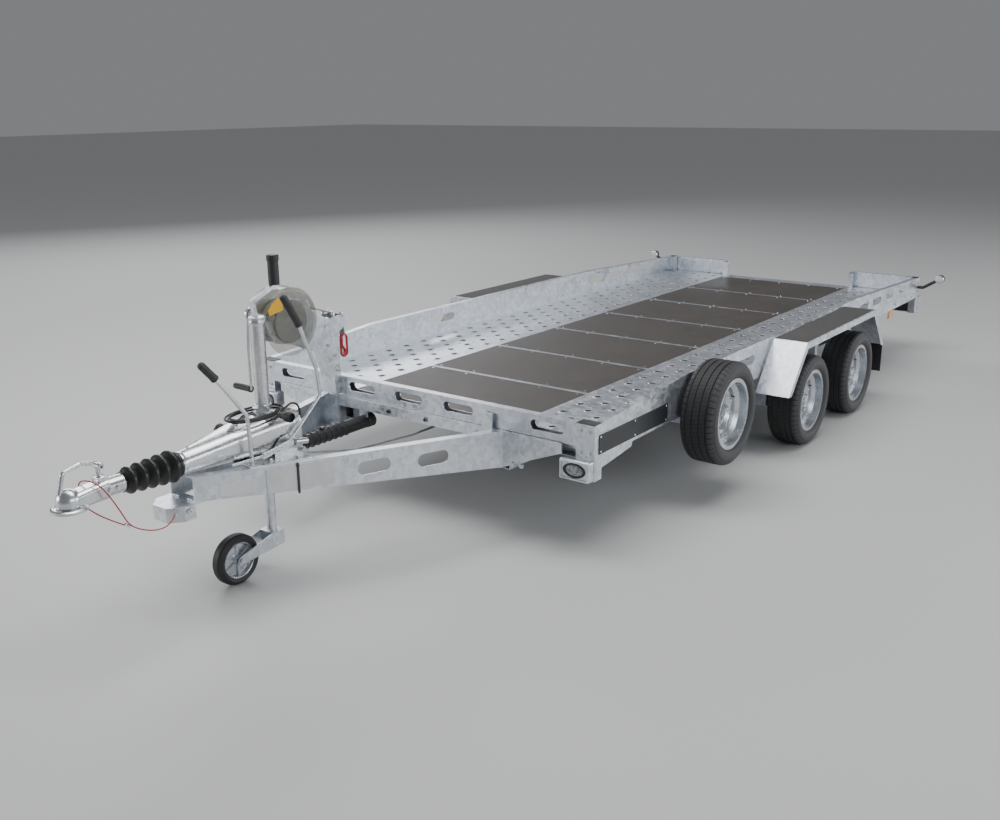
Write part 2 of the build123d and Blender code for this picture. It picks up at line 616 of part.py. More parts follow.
# ------------------------------------------------------------------- mudguards
def mudguard():
    """Left mudguard: folded sheet over both wheels with a turned-down outer lip."""
    mid = AXLE_MID_X
    outer = [(mid + GUARD_HALF_FOOT, GUARD_FOOT_Z), (mid + GUARD_HALF_TOP, GUARD_TOP),
             (mid - GUARD_HALF_TOP, GUARD_TOP), (mid - GUARD_HALF_FOOT, GUARD_FOOT_Z)]
    t = GUARD_SHEET * 1.45
    inner = [(mid - GUARD_HALF_FOOT + t, GUARD_FOOT_Z), (mid - GUARD_HALF_TOP + 1.4, GUARD_TOP - GUARD_SHEET),
             (mid + GUARD_HALF_TOP - 1.4, GUARD_TOP - GUARD_SHEET), (mid + GUARD_HALF_FOOT - t, GUARD_FOOT_Z)]
    sheet = side_plate(outer + inner, GUARD_IN, GUARD_OUT)
    d = GUARD_LIP
    lip_in = [(mid - GUARD_HALF_FOOT + d, GUARD_FOOT_Z), (mid - GUARD_HALF_TOP + d * 0.47, GUARD_TOP - d),
              (mid + GUARD_HALF_TOP - d * 0.47, GUARD_TOP - d), (mid + GUARD_HALF_FOOT - d, GUARD_FOOT_Z)]
    lip = side_plate(outer + lip_in, GUARD_OUT - GUARD_SHEET, GUARD_OUT)
    return sheet + lip


def mudflap():
    """Left rubber flap behind the rear wheel."""
    x = AXLE_MID_X - GUARD_HALF_FOOT
    return block(x - 6, x, GUARD_IN + 6, GUARD_OUT - 6, 190, GUARD_FOOT_Z + 25)


# ------------------------------------------------------------ overrun coupling
def overrun_housing():
    """Tapered nose and open-bottomed tail of the overrun device, with the jockey hole."""
    nose = Plane(origin=(HOUSING_NOSE_X, 0, COUPLING_Z), z_dir=(1, 0, 0)) * Circle(HOUSING_R)
    seat = base_top(HOUSING_STEP_X)
    step = Plane(origin=(HOUSING_STEP_X, 0, (seat + HOUSING_TOP) / 2), x_dir=(0, 1, 0), z_dir=(1, 0, 0))
    body = loft([step * RectangleRounded(2 * HOUSING_HALF, HOUSING_TOP - seat, 55), nose])
    tail = block(HOUSING_TAIL_X, HOUSING_STEP_X, -HOUSING_HALF, HOUSING_HALF, DRAWBAR_TOP, HOUSING_TOP)
    tail = fillet(tail.edges().filter_by(Axis.X).sort_by(Axis.Z)[-2:], 50)
    hollow = block(HOUSING_TAIL_X - 1, HOUSING_STEP_X - 8, -HOUSING_HALF + 8, HOUSING_HALF - 8,
                   DRAWBAR_TOP - 1, HOUSING_TOP - 8)
    body += tail - fillet(hollow.edges().filter_by(Axis.X).sort_by(Axis.Z)[-2:], 42)
    x0, x1 = HOUSING_TAIL_X, HOUSING_STEP_X + 160
    low = [(x1, base_top(x1) - BASE_THICK), (x0 - 1, base_top(x0 - 1) - BASE_THICK)]
    body -= side_plate([(x0 - 1, 300), (x1, 300)] + low, -300, 300)
    slab = side_plate(low + [(x0 - 1, base_top(x0 - 1)), (x1, base_top(x1))], -300, 300)
    edge = [(x0, 142), (820, 142), (860, 236), (HOUSING_STEP_X, 212), (x1, 150)]
    slab &= flat_plate(edge + [(x, -y) for x, y in reversed(edge)], 300, 900)
    slab -= block(x0 + 30, HOUSING_STEP_X - 20, -HOUSING_HALF + 14, HOUSING_HALF - 14, 300, 900)
    return body + slab - rod((JOCKEY_X, 0, 300), (JOCKEY_X, 0, 900), JOCKEY_OUTER_R + 0.3)


def bellows():
    """Rubber bellows with five ribs round the draw tube."""
    pitch = BELLOWS_LENGTH / 5
    profile = [(0, DRAWTUBE_R + 0.3), (0, 52)]
    for i in range(5):
        a = i * pitch
        peak = 66 - 3 * i
        profile += [(a + 6, peak - 12), (a + pitch * 0.35, peak), (a + pitch * 0.65, peak), (a + pitch - 4, peak - 13)]
    profile += [(BELLOWS_LENGTH, 40), (BELLOWS_LENGTH, DRAWTUBE_R + 0.3)]
    return turned(profile, (HOUSING_NOSE_X, 0, COUPLING_Z), (1, 0, 0))


def coupling_head():
    """Draw tube and the pressed coupling head on it, with its socket for the ball."""
    sleeve = rod((HEAD_TAIL_X, 0, COUPLING_Z), (HEAD_TAIL_X + 95, 0, COUPLING_Z), 36)
    sleeve += rod((HOUSING_NOSE_X, 0, COUPLING_Z), (HEAD_TAIL_X + 1, 0, COUPLING_Z), DRAWTUBE_R)
    neck_back = Plane(origin=(HEAD_TAIL_X + 70, 0, COUPLING_Z), x_dir=(0, 1, 0), z_dir=(1, 0, 0)) * RectangleRounded(
        74, 72, 20)
    neck_front = Plane(origin=(BALL_X - 10, 0, COUPLING_Z - 8), x_dir=(0, 1, 0), z_dir=(1, 0, 0)) * RectangleRounded(
        84, 60, 20)
    head = sleeve + loft([neck_back, neck_front])
    dome_r = HEAD_NOSE_X - BALL_X - 12
    dome = Pos(BALL_X, 0, BALL_Z + 6) * Sphere(dome_r - 8)
    dome += rod((BALL_X, 0, BALL_Z - 26), (BALL_X, 0, BALL_Z + 8), dome_r - 8)
    rim = rod((BALL_X, 0, BALL_Z - 30), (BALL_X, 0, BALL_Z - 20), HEAD_NOSE_X - BALL_X)
    head += dome + rim
    head -= Pos(BALL_X, 0, BALL_Z) * Sphere(BALL_R)
    return head - rod((BALL_X, 0, BALL_Z - 60), (BALL_X, 0, BALL_Z), BALL_R)


def coupling_handle():
    """Looped release handle over the head."""
    x, z = HEAD_TAIL_X, COUPLING_Z
    loop = bent_bar([(x + 84, 0, z + 30), (x + 92, 0, z + 106), (x + 160, 0, z + 116), (x + 226, 0, z + 100),
                     (x + 246, 0, z + 27)], 16, 8)
    return (loop - coupling_head()).solids().sort_by(SortBy.VOLUME)[-1]


# ------------------------------------------------------------ levers and pump
LEVER_Y = 122.0
LEVER_R = 8.0


def hand_lever(points, bend, grip_end):
    """Bent bar in the levers' plane with a grip on its end."""
    bar = bent_bar([(x, LEVER_Y, z) for x, z in points], bend, LEVER_R)
    x, z = points[-1]
    return bar + rod((x, LEVER_Y, z), (grip_end[0], LEVER_Y, grip_end[1]), 15)


def parking_brake_lever():
    """Long lever of the parking brake, on a pivot plate beside the housing."""
    lever = hand_lever([(877, 594), (694, 748), (708, 869), (787, 1069)], 40, (862, 1195))
    lever += rod((877, LEVER_Y - LEVER_R, 594), (877, LEVER_Y + 12, 594), 15)
    plate = side_plate([(800, base_top(800)), (955, base_top(955)), (955, 575), (900, 622), (830, 590)],
                       LEVER_Y - LEVER_R - 6, LEVER_Y - LEVER_R)
    return lever + plate


def jockey_clamp_lever():
    """Short lever that clamps the jockey wheel's tube."""
    return hand_lever([(1082, base_top(1082) + 0.7), (1091, 756), (1187, 881), (1230, 935)], 34, (1288, 1000))


def tilt_pump():
    """Ribbed body of the tilt ram's oil reservoir, with its clamp on the right V rail."""
    x0, x1 = -45.0, 550.0
    profile = [(x0, 0), (x0, PUMP_R + 2)]
    for i in range(2):
        a = x0 + 4 + 22 * i
        profile += [(a, PUMP_R + 2), (a + 5, PUMP_R - 4), (a + 11, PUMP_R - 4), (a + 16, PUMP_R + 2)]
    profile += [(x0 + 46, PUMP_R - 0.3), (x1 - 20, PUMP_R - 0.3), (x1, PUMP_R - 12), (x1, 0)]
    body = turned([(a - x0, r) for a, r in profile], (x0, PUMP_Y, PUMP_Z), (1, 0, 0))
    web = 6 - rails_outer_y(510)
    arm = block(490, 510, PUMP_Y - PUMP_R + 4, web, PUMP_Z - 6, PUMP_Z + 6)
    return body + arm


# ----------------------------------------------------------------- jockey wheel
def jockey_tube():
    """Outer tube of the jockey wheel with its collar, foot bush and cap."""
    tube = pipe((JOCKEY_X, 0, JOCKEY_TUBE_FOOT), (JOCKEY_X, 0, JOCKEY_TUBE_TOP), JOCKEY_OUTER_R, JOCKEY_OUTER_R - 4)
    bush = pipe((JOCKEY_X, 0, JOCKEY_TUBE_FOOT), (JOCKEY_X, 0, JOCKEY_TUBE_FOOT + 30), JOCKEY_OUTER_R - 3,
                JOCKEY_INNER_R + 0.3)
    cap = rod((JOCKEY_X, 0, JOCKEY_TUBE_TOP), (JOCKEY_X, 0, JOCKEY_TUBE_TOP + 10), JOCKEY_OUTER_R + 3)
    collar = pipe((JOCKEY_X, 0, HOUSING_TOP), (JOCKEY_X, 0, HOUSING_TOP + 40), JOCKEY_OUTER_R + 7, JOCKEY_OUTER_R)
    return tube + bush + cap + collar


def jockey_leg():
    """Inner leg that slides in the outer tube, with the spigot that carries the fork."""
    leg = rod((JOCKEY_X, 0, JOCKEY_LEG_FOOT), (JOCKEY_X, 0, JOCKEY_TUBE_TOP - 60), JOCKEY_INNER_R)
    spigot = rod((JOCKEY_X, 0, JOCKEY_LEG_FOOT - 36), (JOCKEY_X, 0, JOCKEY_LEG_FOOT + 5), 12)
    return leg + spigot


def jockey_crank():
    """Cranked arm and upright grip on top of the tube."""
    z = JOCKEY_TUBE_TOP + 10
    arm = side_plate([(JOCKEY_X + 14, z), (JOCKEY_X + 26, z + 70), (JOCKEY_X - 92, z + 118),
                      (JOCKEY_X - 122, z + 118), (JOCKEY_X - 122, z + 104), (JOCKEY_X - 96, z + 104),
                      (JOCKEY_X + 8, z + 60), (JOCKEY_X - 4, z)], -9, 9)
    grip = rod((JOCKEY_X - 107, 0, z + 118), (JOCKEY_X - 107, 0, z + 242), 22)
    return arm + grip


def jockey_fork():
    """Castor fork on the leg's spigot, its two arms reaching forward to the wheel."""
    top = JOCKEY_LEG_FOOT - 0.3
    wheel_x = JOCKEY_X + JOCKEY_TRAIL
    out = JOCKEY_WIDTH / 2 + 11
    fork = block(JOCKEY_X - 32, JOCKEY_X + 34, -out, out, top - 46, top)
    for side in (1, -1):
        fork += side_plate([(JOCKEY_X - 32, top), (JOCKEY_X + 34, top), (wheel_x + 12, JOCKEY_R + 18),
                            (wheel_x + 20, JOCKEY_R), (wheel_x + 10, JOCKEY_R - 16), (JOCKEY_X - 32, top - 62)],
                           side * (out - 6), side * out)
    fork -= rod((JOCKEY_X, 0, top - 60), (JOCKEY_X, 0, top + 10), 12 + PIN_CLEAR)
    return fork + rod((wheel_x, -out - 3, JOCKEY_R), (wheel_x, out + 3, JOCKEY_R), 8)


def jockey_wheel():
    """Solid rubber tyre and pressed rim of the jockey wheel."""
    centre = (JOCKEY_X + JOCKEY_TRAIL, 0, JOCKEY_R)
    half = JOCKEY_WIDTH / 2
    rubber = turned([(-half + 6, 78), (-half, 92), (-half + 8, JOCKEY_R - 6), (-half + 18, JOCKEY_R),
                     (half - 18, JOCKEY_R), (half - 8, JOCKEY_R - 6), (half, 92), (half - 6, 78)],
                    centre, (0, 1, 0))
    rim = turned([(-half + 2, 8 + PIN_CLEAR), (-half + 2, 20), (-10, 24), (-8, 66), (-half + 6, 78), (half - 6, 78),
                  (8, 66), (10, 24), (half - 2, 20), (half - 2, 8 + PIN_CLEAR)], centre, (0, 1, 0))
    return rubber, rim


# ------------------------------------------------------------------------ winch
def at_winch(shape):
    """Move a piece made about the winch's middle plane to its place."""
    return Pos(0, WINCH_Y, 0) * shape


def winch_post():
    """Folded post bolted to the bed's front rail, with the strap's roller at its top."""
    top = WINCH_POST_TOP
    outline = [(4, RAIL_FOOT + 16), (44, RAIL_FOOT + 16), (52, 600), (140, 880), (140, top), (-30, top + 16),
               (-62, top - 10), (-62, 872), (6, 830), (6, RAIL_TOP + 6), (4, RAIL_TOP + 6)]
    h = WINCH_POST_HALF
    post = side_plate(outline, h - 5, h) + side_plate(outline, -h, 5 - h)
    front = [(44, RAIL_FOOT + 16), (52, 600), (140, 880), (134, 880), (46, 600), (38, RAIL_FOOT + 16)]
    post += side_plate(front, -h, h) + block(20, 140, -h, h, top - 6, top)
    post += block(0.3, 6, -72, 72, RAIL_FOOT + 16, RAIL_TOP - 3)
    return at_winch(post + rod((-40, -h, top - 8), (-40, h, top - 8), 12))


def winch_frame():
    """Two cheeks that carry the drum ahead of the post."""
    outline = [(60, 740), (60, 895), (160, 955), (185, 967), (230, 1040), (400, 1050), (476, 1000), (482, 960),
               (430, 850), (260, 810), (120, 740)]
    inner = WINCH_POST_HALF
    cheek = side_plate(outline, inner, WINCH_HALF - 5)
    tie = rod((470, -WINCH_HALF + 5, 965), (470, WINCH_HALF - 5, 965), 8)
    return at_winch(cheek + other_side(cheek) + tie)


def winch_drum():
    """Drum with its rolled strap, which runs back over the roller and down to the hook."""
    x, z = WINCH_AXLE
    half = WINCH_POST_HALF
    drum = rod((x, -half, z), (x, half, z), 24) + rod((x, -half + 10, z), (x, half - 10, z), 96)
    rx, rz, near, far = -40, WINCH_POST_TOP - 8, 12.3, 16.3
    strap = side_plate([(x, z + 94), (x, z + 98), (rx, rz + far), (rx - 6.8, rz + far), (rx - far, rz + 6.8),
                        (rx - far, 806), (rx - near, 806), (rx - near, rz + 5.1), (rx - 5.1, rz + near),
                        (rx, rz + near)], -24, 24)
    return at_winch(drum + strap)


def winch_cover():
    """Round moulded cover over the drum, with its near side a full disc."""
    x, z = WINCH_AXLE
    half = WINCH_HALF + 14
    cover = rod((x, -half, z), (x, half, z), WINCH_COVER_R)
    cover = fillet(cover.edges(), 18)
    cover -= fillet(rod((x, 4 - half, z), (x, half - 4, z), WINCH_COVER_R - 4).edges(), 14)
    cover -= block(x - 200, x + 200, -100, half - 8, z - 200, z + 30)
    cover -= block(x - 200, x - 140, -27, 27, z + 29, z + 80)
    cx, cz = WINCH_CRANK
    return at_winch(cover - rod((cx, -100, cz), (cx, 0, cz), 14))


def winch_crank():
    """Crank arm and grip of the winch, hanging on the far side."""
    x, z = WINCH_CRANK
    hub = rod((x, -WINCH_HALF - 44, z), (x, 5 - WINCH_HALF, z), 13)
    arm = bent_bar([(x, -WINCH_HALF - 36, z), (x + 12, -WINCH_HALF - 36, 800), (x + 12, -WINCH_HALF - 36, 612)], 40, 7)
    grip = rod((x + 12, -WINCH_HALF - 150, 614), (x + 12, -WINCH_HALF - 36, 614), 15)
    return at_winch(hub + arm + grip)


def winch_hook():
    """Safety hook at the end of the winch strap."""
    hook = bent_bar([(-56, 0, 805.7), (-56, 0, 742), (-84, 0, 706), (-58, 0, 690)], 12, 8)
    return at_winch(hook)


# --------------------------------------------------------------------- tilt ram
def ram_frame():
    """Unit vector from the ram's base pin to its eye, and the distance."""
    dx, dz = RAM_EYE[0] - RAM_BASE[0], RAM_EYE[1] - RAM_BASE[1]
    length = math.hypot(dx, dz)
    return dx / length, dz / length, length


def ram_barrel():
    """Barrel that swings on the chassis pin."""
    ux, uz, length = ram_frame()

    def at(s):
        return (RAM_BASE[0] + ux * s, 0, RAM_BASE[1] + uz * s)
    barrel = rod(at(34), at(length * 0.62), RAM_BARREL_R) + rod(at(10), at(36), 15)
    barrel += rod((RAM_BASE[0], -17, RAM_BASE[1]), (RAM_BASE[0], 17, RAM_BASE[1]), RAM_EYE_R)
    barrel -= rod((RAM_BASE[0], -30, RAM_BASE[1]), (RAM_BASE[0], 30, RAM_BASE[1]), RAM_PIN_R + PIN_CLEAR)
    return barrel - rod(at(60), at(length), RAM_ROD_R + PIN_CLEAR)


def ram_rod():
    """Rod with the wide eye that rides on the bed's pin."""
    ux, uz, length = ram_frame()

    def at(s):
        return (RAM_BASE[0] + ux * s, 0, RAM_BASE[1] + uz * s)
    x, z = RAM_EYE
    bar = rod(at(90), at(length - 10), RAM_ROD_R) + rod((x, -16, z), (x, 16, z), RAM_EYE_R)
    return bar - rod((x, -20, z), (x, 20, z), RAM_EYE_BORE)


def ram_bed_bracket():
    """Cross tube between the long beams, with two ears and the pin for the rod's eye."""
    x, z = RAM_EYE
    inner = LONG_BEAM_OUT - LONG_BEAM_WIDTH
    tube = block(x - 84, x - 44, -inner, inner, z - 20, z + 20)
    tube -= block(x - 84 + SHEET, x - 44 - SHEET, -inner, inner, z - 20 + SHEET, z + 20 - SHEET)
    ear = side_plate([(x - 46, z - 20), (x - 46, z + 20), (x + 14, z + 18), (x + 20, z), (x + 14, z - 18)],
                     RAM_EAR_IN, RAM_EAR_OUT)
    bracket = tube + ear + other_side(ear)
    return bracket + rod((x, -RAM_EAR_OUT, z), (x, RAM_EAR_OUT, z), RAM_PIN_R)


# -------------------------------------------------------------- lamps and cable
def front_marker_lamps():
    """Front marker lamps on the corner posts."""
    box = block(0, 42, HALF - 152, HALF - 2, 352, 444)
    box = fillet(box.edges().filter_by(Axis.X), 10)
    return pair(box)


def side_panels():
    """Plain dark panels on the side walls behind the front posts."""
    return pair(block(-655, -34, HALF, HALF + 3, DECK_TOP - 15, DECK_TOP + 73))


def rear_lamp_units():
    """Rear lamp clusters under the rear corners."""
    lamp = block(-BED_LENGTH - LAMP_DEPTH, -BED_LENGTH, HALF - 250, HALF, 330, 440)
    return pair(fillet(lamp.edges().filter_by(Axis.X), 12))


def rear_marker_stalks():
    """Outline marker lamps on rubber stalks at the rear corners."""
    x = -BED_LENGTH + 30
    stalk = bent_bar([(x, HALF, 530), (x, HALF + 40, 530), (x, HALF + 140, 594)], 30, 12)
    stalk += rod((x, HALF + 140, 594), (x, HALF + 172, 614), 22)
    return pair(stalk)


LIGHT_CABLE = [(809, 10, 710), (755, 9, 712), (708, 2, 690), (686, -18, 612), (660, -62, 528), (600, -140, 474),
               (505, -205, 458), (474, -290, 455), (474, -380, 455)]
BREAKAWAY_LOOP = [(1475, 98, 412), (1540, 104, 412), (1592, 92, 430), (1632, 74, 456), (1662, 76, 520),
                  (1695, 70, 590), (1722, 52, 640), (1738, 0, 651), (1740, -52, 632), (1735, -62, 580),
                  (1728, -50, 535), (1715, 0, 512), (1690, 45, 490), (1642, 66, 458)]


def cord(name, points, radius):
    """Tube of straight runs joined by tangent arcs, each as wide as its runs allow."""
    pts = [Vector(*p) for p in points]
    radii = []
    for a, b, c in zip(pts, pts[1:], pts[2:]):
        half_turn = math.radians((b - a).get_angle(c - b)) / 2
        radii.append(0.45 * min((b - a).length, (c - b).length) / math.tan(half_turn))
    print(name, "bend radii", [round(r) for r in radii])
    path = FilletPolyline(*points, radius=radii)
    return sweep(Plane(origin=path @ 0, z_dir=path % 0) * Circle(radius), path=path)


def breakaway_cable():
    """Thin cable from its boss under the nose, once round the coupling's neck."""
    return cord("breakaway_cable", [breakaway_boss()[1]] + BREAKAWAY_LOOP, BREAKAWAY_R)


def light_cable_coil():
    """Outer shape of the coiled lighting cable lying on the housing round the jockey tube."""
    base = Plane(origin=(COIL_X, COIL_Y, HOUSING_TOP + 0.3))
    ring = extrude(base * Ellipse(150, 92), 26) - extrude(base * Ellipse(118, 60), 26)
    return ring


def light_plug():
    """Plug of the lighting cable, lying beside the coil."""
    x, y, z = COIL_X - 45, COIL_Y + 90.3, HOUSING_TOP + 14
    return rod((x, y, z), (x, y + 36, z), 14) + rod((x, y + 32, z), (x - 12, y + 68, z - 3), 21)


def main():
    os.makedirs("parts", exist_ok=True)
    save("bed_side_rails", pair(bed_side_rail()))
    save("bed_front_rail", bed_front_rail())
    save("bed_corner_posts", corner_posts())
    save("bed_bearers", bed_bearers())
    save("deck_panels", deck_panels())
    save("track_plates", pair(track_plate()))
    save("bed_long_beams", bed_long_beams() + [ram_bed_bracket()])
    save("bed_rear_sill", bed_rear_sill())
    for name, side in SIDES:
        flap = rear_flap()
        save(f"rear_flap_{name}", flap if side > 0 else other_side(flap))
    save("front_marker_lamps", front_marker_lamps())
    save("side_panels", side_panels())
    save("rear_lamp_units", rear_lamp_units())
    save("rear_marker_stalks", rear_marker_stalks())
    save("drawbar", drawbar())
    save("front_crossmember", front_crossmember())
    save("chassis_rails", chassis_rails())
    save("chassis_cross_tubes", chassis_cross_tubes())
    save("axle_beams", axle_beams())
    save("mudguards", pair(mudguard()))
    save("mudflaps", pair(mudflap()))
    for end, x in ENDS:
        for name, side in SIDES:
            centre = (x, side * WHEEL_MID, TYRE_R)
            save(f"tyre_{end}_{name}", tyre(centre))
            save(f"rim_{end}_{name}", wheel_rim(centre, side))
            save(f"hub_drum_{end}_{name}", hub_drum(x, side))
    spare_centre = (SPARE_X, SPARE_OUT - TYRE_WIDTH / 2, SPARE_Z)
    save("spare_tyre", tyre(spare_centre))
    save("spare_rim", wheel_rim(spare_centre, 1))
    save("overrun_housing", overrun_housing())
    save("bellows", bellows())
    save("coupling_head", coupling_head())
    save("coupling_handle", coupling_handle())
    save("parking_brake_lever", parking_brake_lever())
    save("tilt_pump", tilt_pump())
    save("jockey_clamp_lever", jockey_clamp_lever())
    save("jockey_tube", jockey_tube())
    save("jockey_leg", jockey_leg())
    save("jockey_crank", jockey_crank())
    save("jockey_fork", jockey_fork())
    rubber, rim = jockey_wheel()
    save("jockey_tyre", rubber)
    save("jockey_rim", rim)
    save("winch_post", winch_post())
    save("winch_frame", winch_frame())
    save("winch_cover", winch_cover())
    save("winch_drum", winch_drum())
    save("winch_crank", winch_crank())
    save("winch_hook", winch_hook())
    save("ram_barrel", ram_barrel())
    save("ram_rod", ram_rod())
    save("light_cable", cord("light_cable", LIGHT_CABLE, CABLE_R))
    save("light_cable_coil", light_cable_coil())
    save("light_plug", light_plug())
    save("breakaway_cable", breakaway_cable())


main()
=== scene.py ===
import math
import bmesh
import bpy
from mathutils import Matrix, Vector


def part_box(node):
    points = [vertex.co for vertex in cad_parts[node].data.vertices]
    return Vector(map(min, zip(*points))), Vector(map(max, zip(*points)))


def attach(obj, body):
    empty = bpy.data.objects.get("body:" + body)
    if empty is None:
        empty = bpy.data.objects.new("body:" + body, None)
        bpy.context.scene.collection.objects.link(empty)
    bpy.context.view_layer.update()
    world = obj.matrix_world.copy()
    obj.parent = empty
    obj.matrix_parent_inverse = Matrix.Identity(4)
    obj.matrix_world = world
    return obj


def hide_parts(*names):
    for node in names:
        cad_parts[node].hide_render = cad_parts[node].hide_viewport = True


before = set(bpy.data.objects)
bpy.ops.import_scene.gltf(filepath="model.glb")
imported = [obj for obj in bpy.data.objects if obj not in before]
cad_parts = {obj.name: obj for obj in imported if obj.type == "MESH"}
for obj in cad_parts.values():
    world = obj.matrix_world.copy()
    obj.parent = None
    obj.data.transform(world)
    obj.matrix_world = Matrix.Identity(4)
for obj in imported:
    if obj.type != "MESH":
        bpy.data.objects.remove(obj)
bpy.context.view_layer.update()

bed_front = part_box("bed_corner_posts")[1].x


# The chassis is welded up from folded and rolled steel sections, then dipped whole
# in hot zinc, which sets in pale and dark crystals a few centimetres across.
class Wire:
    """One value in a finish's nodes. Sums on it add Math nodes, and node() adds any other node."""

    def __init__(self, tree, socket):
        self.tree, self.socket = tree, socket

    def node(self, kind, settings=(), inputs=(), out=0):
        made = self.tree.nodes.new("ShaderNode" + kind)
        for key, value in dict(settings).items():
            if key == "stops":
                for i, (place, tone) in enumerate(value):
                    stop = made.color_ramp.elements[i] if i < 2 else made.color_ramp.elements.new(place)
                    stop.position, stop.color = place, (*tone, 1) if isinstance(tone, tuple) else (tone,) * 3 + (1,)
            else:
                setattr(made, key, value)
        for key, value in dict(inputs).items():
            if isinstance(value, Wire):
                self.tree.links.new(value.socket, made.inputs[key])
            else:
                made.inputs[key].default_value = value
        return Wire(self.tree, made.outputs[out])

    def sum(self, operation, first, second):
        return self.node("Math", {"operation": operation}, {0: first, 1: second})

    def __add__(self, other):
        return self.sum("ADD", self, other)

    def __sub__(self, other):
        return self.sum("SUBTRACT", self, other)

    def __rsub__(self, other):
        return self.sum("SUBTRACT", other, self)

    def __mul__(self, other):
        return self.sum("MULTIPLY", self, other)

    def __gt__(self, other):
        return self.sum("GREATER_THAN", self, other)

    def __lt__(self, other):
        return self.sum("LESS_THAN", self, other)

    __radd__, __rmul__ = __add__, __mul__

    def noise(self, scale, detail, roughness=0.5, out=0):
        """Cloudy noise at this place."""
        inputs = {"Vector": self, "Scale": scale, "Detail": detail, "Roughness": roughness}
        return self.node("TexNoise", (), inputs, out)

    def cells(self, scale, out="Distance"):
        """Cells like crystals or grit at this place."""
        return self.node("TexVoronoi", (), {"Vector": self, "Scale": scale}, out)

    def waves(self, way, scale):
        """Even ribs across one axis at this place."""
        return self.node("TexWave", {"bands_direction": way}, {"Vector": self, "Scale": scale})

    def blend(self, dark, light):
        """Colour that runs from dark at 0 to light at 1."""
        return self.node("ValToRGB", {"stops": [(0.0, dark), (1.0, light)]}, {"Fac": self})


def new_finish(name, metallic, roughness, colour=(0.5, 0.5, 0.5), coat=0.0):
    """A finish, its shader and the object's own coordinates."""
    finish = bpy.data.materials.new(name)
    finish.use_nodes = True
    shader = finish.node_tree.nodes["Principled BSDF"]
    for key, value in {"Metallic": metallic, "Roughness": roughness, "Base Color": (*colour, 1),
                       "Coat Weight": coat, "Coat Roughness": 0.12}.items():
        shader.inputs[key].default_value = value
    place = finish.node_tree.nodes.new("ShaderNodeTexCoord").outputs["Object"]
    return finish, shader, Wire(finish.node_tree, place)


def feed(shader, **wires):
    """Joins wires to the shader's colour, roughness and the like, and a height through a bump."""
    for key, wire in wires.items():
        if key == "height":
            wire = wire[0].node("Bump", (), {"Height": wire[0], "Distance": wire[1], "Strength": 1.0})
        name = {"colour": "Base Color", "height": "Normal"}.get(key, key.title())
        wire.tree.links.new(wire.socket, shader.inputs[name])


def zinc_dipped(name, light, dark, grain=34.0, rough=0.36):
    """Hot-dip galvanising: crystals, long runs of the bath, and a fine tooth."""
    finish, shader, place = new_finish(name, 0.9, rough)
    bent = place.noise(9.0, 2.0, out="Color")
    bent = place.node("VectorMath", {"operation": "MULTIPLY_ADD"}, {0: bent, 1: (0.035,) * 3, 2: place})
    crystals = bent.cells(grain, out="Color")
    crystals = crystals.node("SeparateColor", (), {"Color": crystals})
    clouds = place.noise(5.5, 5.0, 0.62)
    tooth = place.noise(170.0, 3.0)
    tone = crystals * 0.36 + clouds * 0.5 + tooth * 0.16 + 0.03
    feed(shader, colour=tone.blend(dark, light), roughness=crystals * 0.14 + clouds * 0.2 + (rough - 0.14),
         height=(crystals * 0.35 + tooth, 0.0006))
    return finish


def coat(finish, *names):
    """Gives the frame's own nodes a finish."""
    for name in names:
        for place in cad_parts[name].material_slots:
            place.material = finish


galvanised = zinc_dipped("galvanised_steel", (0.93, 0.96, 1.0), (0.38, 0.42, 0.48), grain=46.0, rough=0.33)
# A darker copy of the same galvanising for the chassis rails, cross tubes, axle beams and bed bearers is painted
# shade under the bed.
galvanised_painted_shade = zinc_dipped("galvanised_underframe_painted_shade", (0.66, 0.70, 0.75), (0.20, 0.22, 0.26), rough=0.42)
coat(galvanised_painted_shade, "chassis_rails", "chassis_cross_tubes", "axle_beams")
coat(galvanised, "drawbar", "front_crossmember")


# Hexagon bolts with washers hold the drawbar and axles: galvanised heads on the
# front cross-member's face and on the axle brackets outside the chassis rails.
def start(add, **sizes):
    """Adds a primitive with nothing else selected, and opens it for editing."""
    bpy.ops.object.select_all(action="DESELECT")
    add(**sizes)
    bpy.ops.object.transform_apply(location=True, rotation=True, scale=True)
    bpy.ops.object.mode_set(mode="EDIT")
    return bpy.context.object


def choose(piece, kind, test):
    """Selects the open piece's faces, edges or verts that pass the test, and nothing else."""
    bpy.ops.mesh.select_mode(type={"faces": "FACE", "edges": "EDGE", "verts": "VERT"}[kind])
    bpy.ops.mesh.select_all(action="DESELECT")
    mesh = bmesh.from_edit_mesh(piece.data)
    for item in getattr(mesh, kind):
        if test(item):
            item.select_set(True)
    mesh.select_flush(True)
    bmesh.update_edit_mesh(piece.data)


def brick(low, high):
    """Opens a box that fills the space between two corners."""
    low, high = Vector(low), Vector(high)
    piece = start(bpy.ops.mesh.primitive_cube_add, size=1)
    bpy.ops.transform.resize(value=high - low)
    bpy.ops.transform.translate(value=(low + high) / 2)
    return piece


def inset_and_move(margin, move):
    """Leaves a margin round the chosen faces and moves what lies inside it."""
    bpy.ops.mesh.inset(thickness=margin)
    bpy.ops.transform.translate(value=move)


def soften(width, steps=2, sharper=30):
    """Rounds the open piece's corners."""
    bpy.ops.mesh.select_all(action="SELECT")
    bpy.ops.mesh.select_mode(type="EDGE")
    bpy.ops.mesh.select_all(action="DESELECT")
    bpy.ops.mesh.edges_select_sharp(sharpness=math.radians(sharper))
    bpy.ops.mesh.bevel(offset=width, segments=steps, affect="EDGES")


def close(piece):
    """Leaves edit mode with the piece's faces turned outwards."""
    bpy.ops.mesh.select_all(action="SELECT")
    bpy.ops.mesh.remove_doubles(threshold=0.00001)
    bpy.ops.mesh.normals_make_consistent(inside=False)
    bpy.ops.object.mode_set(mode="OBJECT")
    return piece


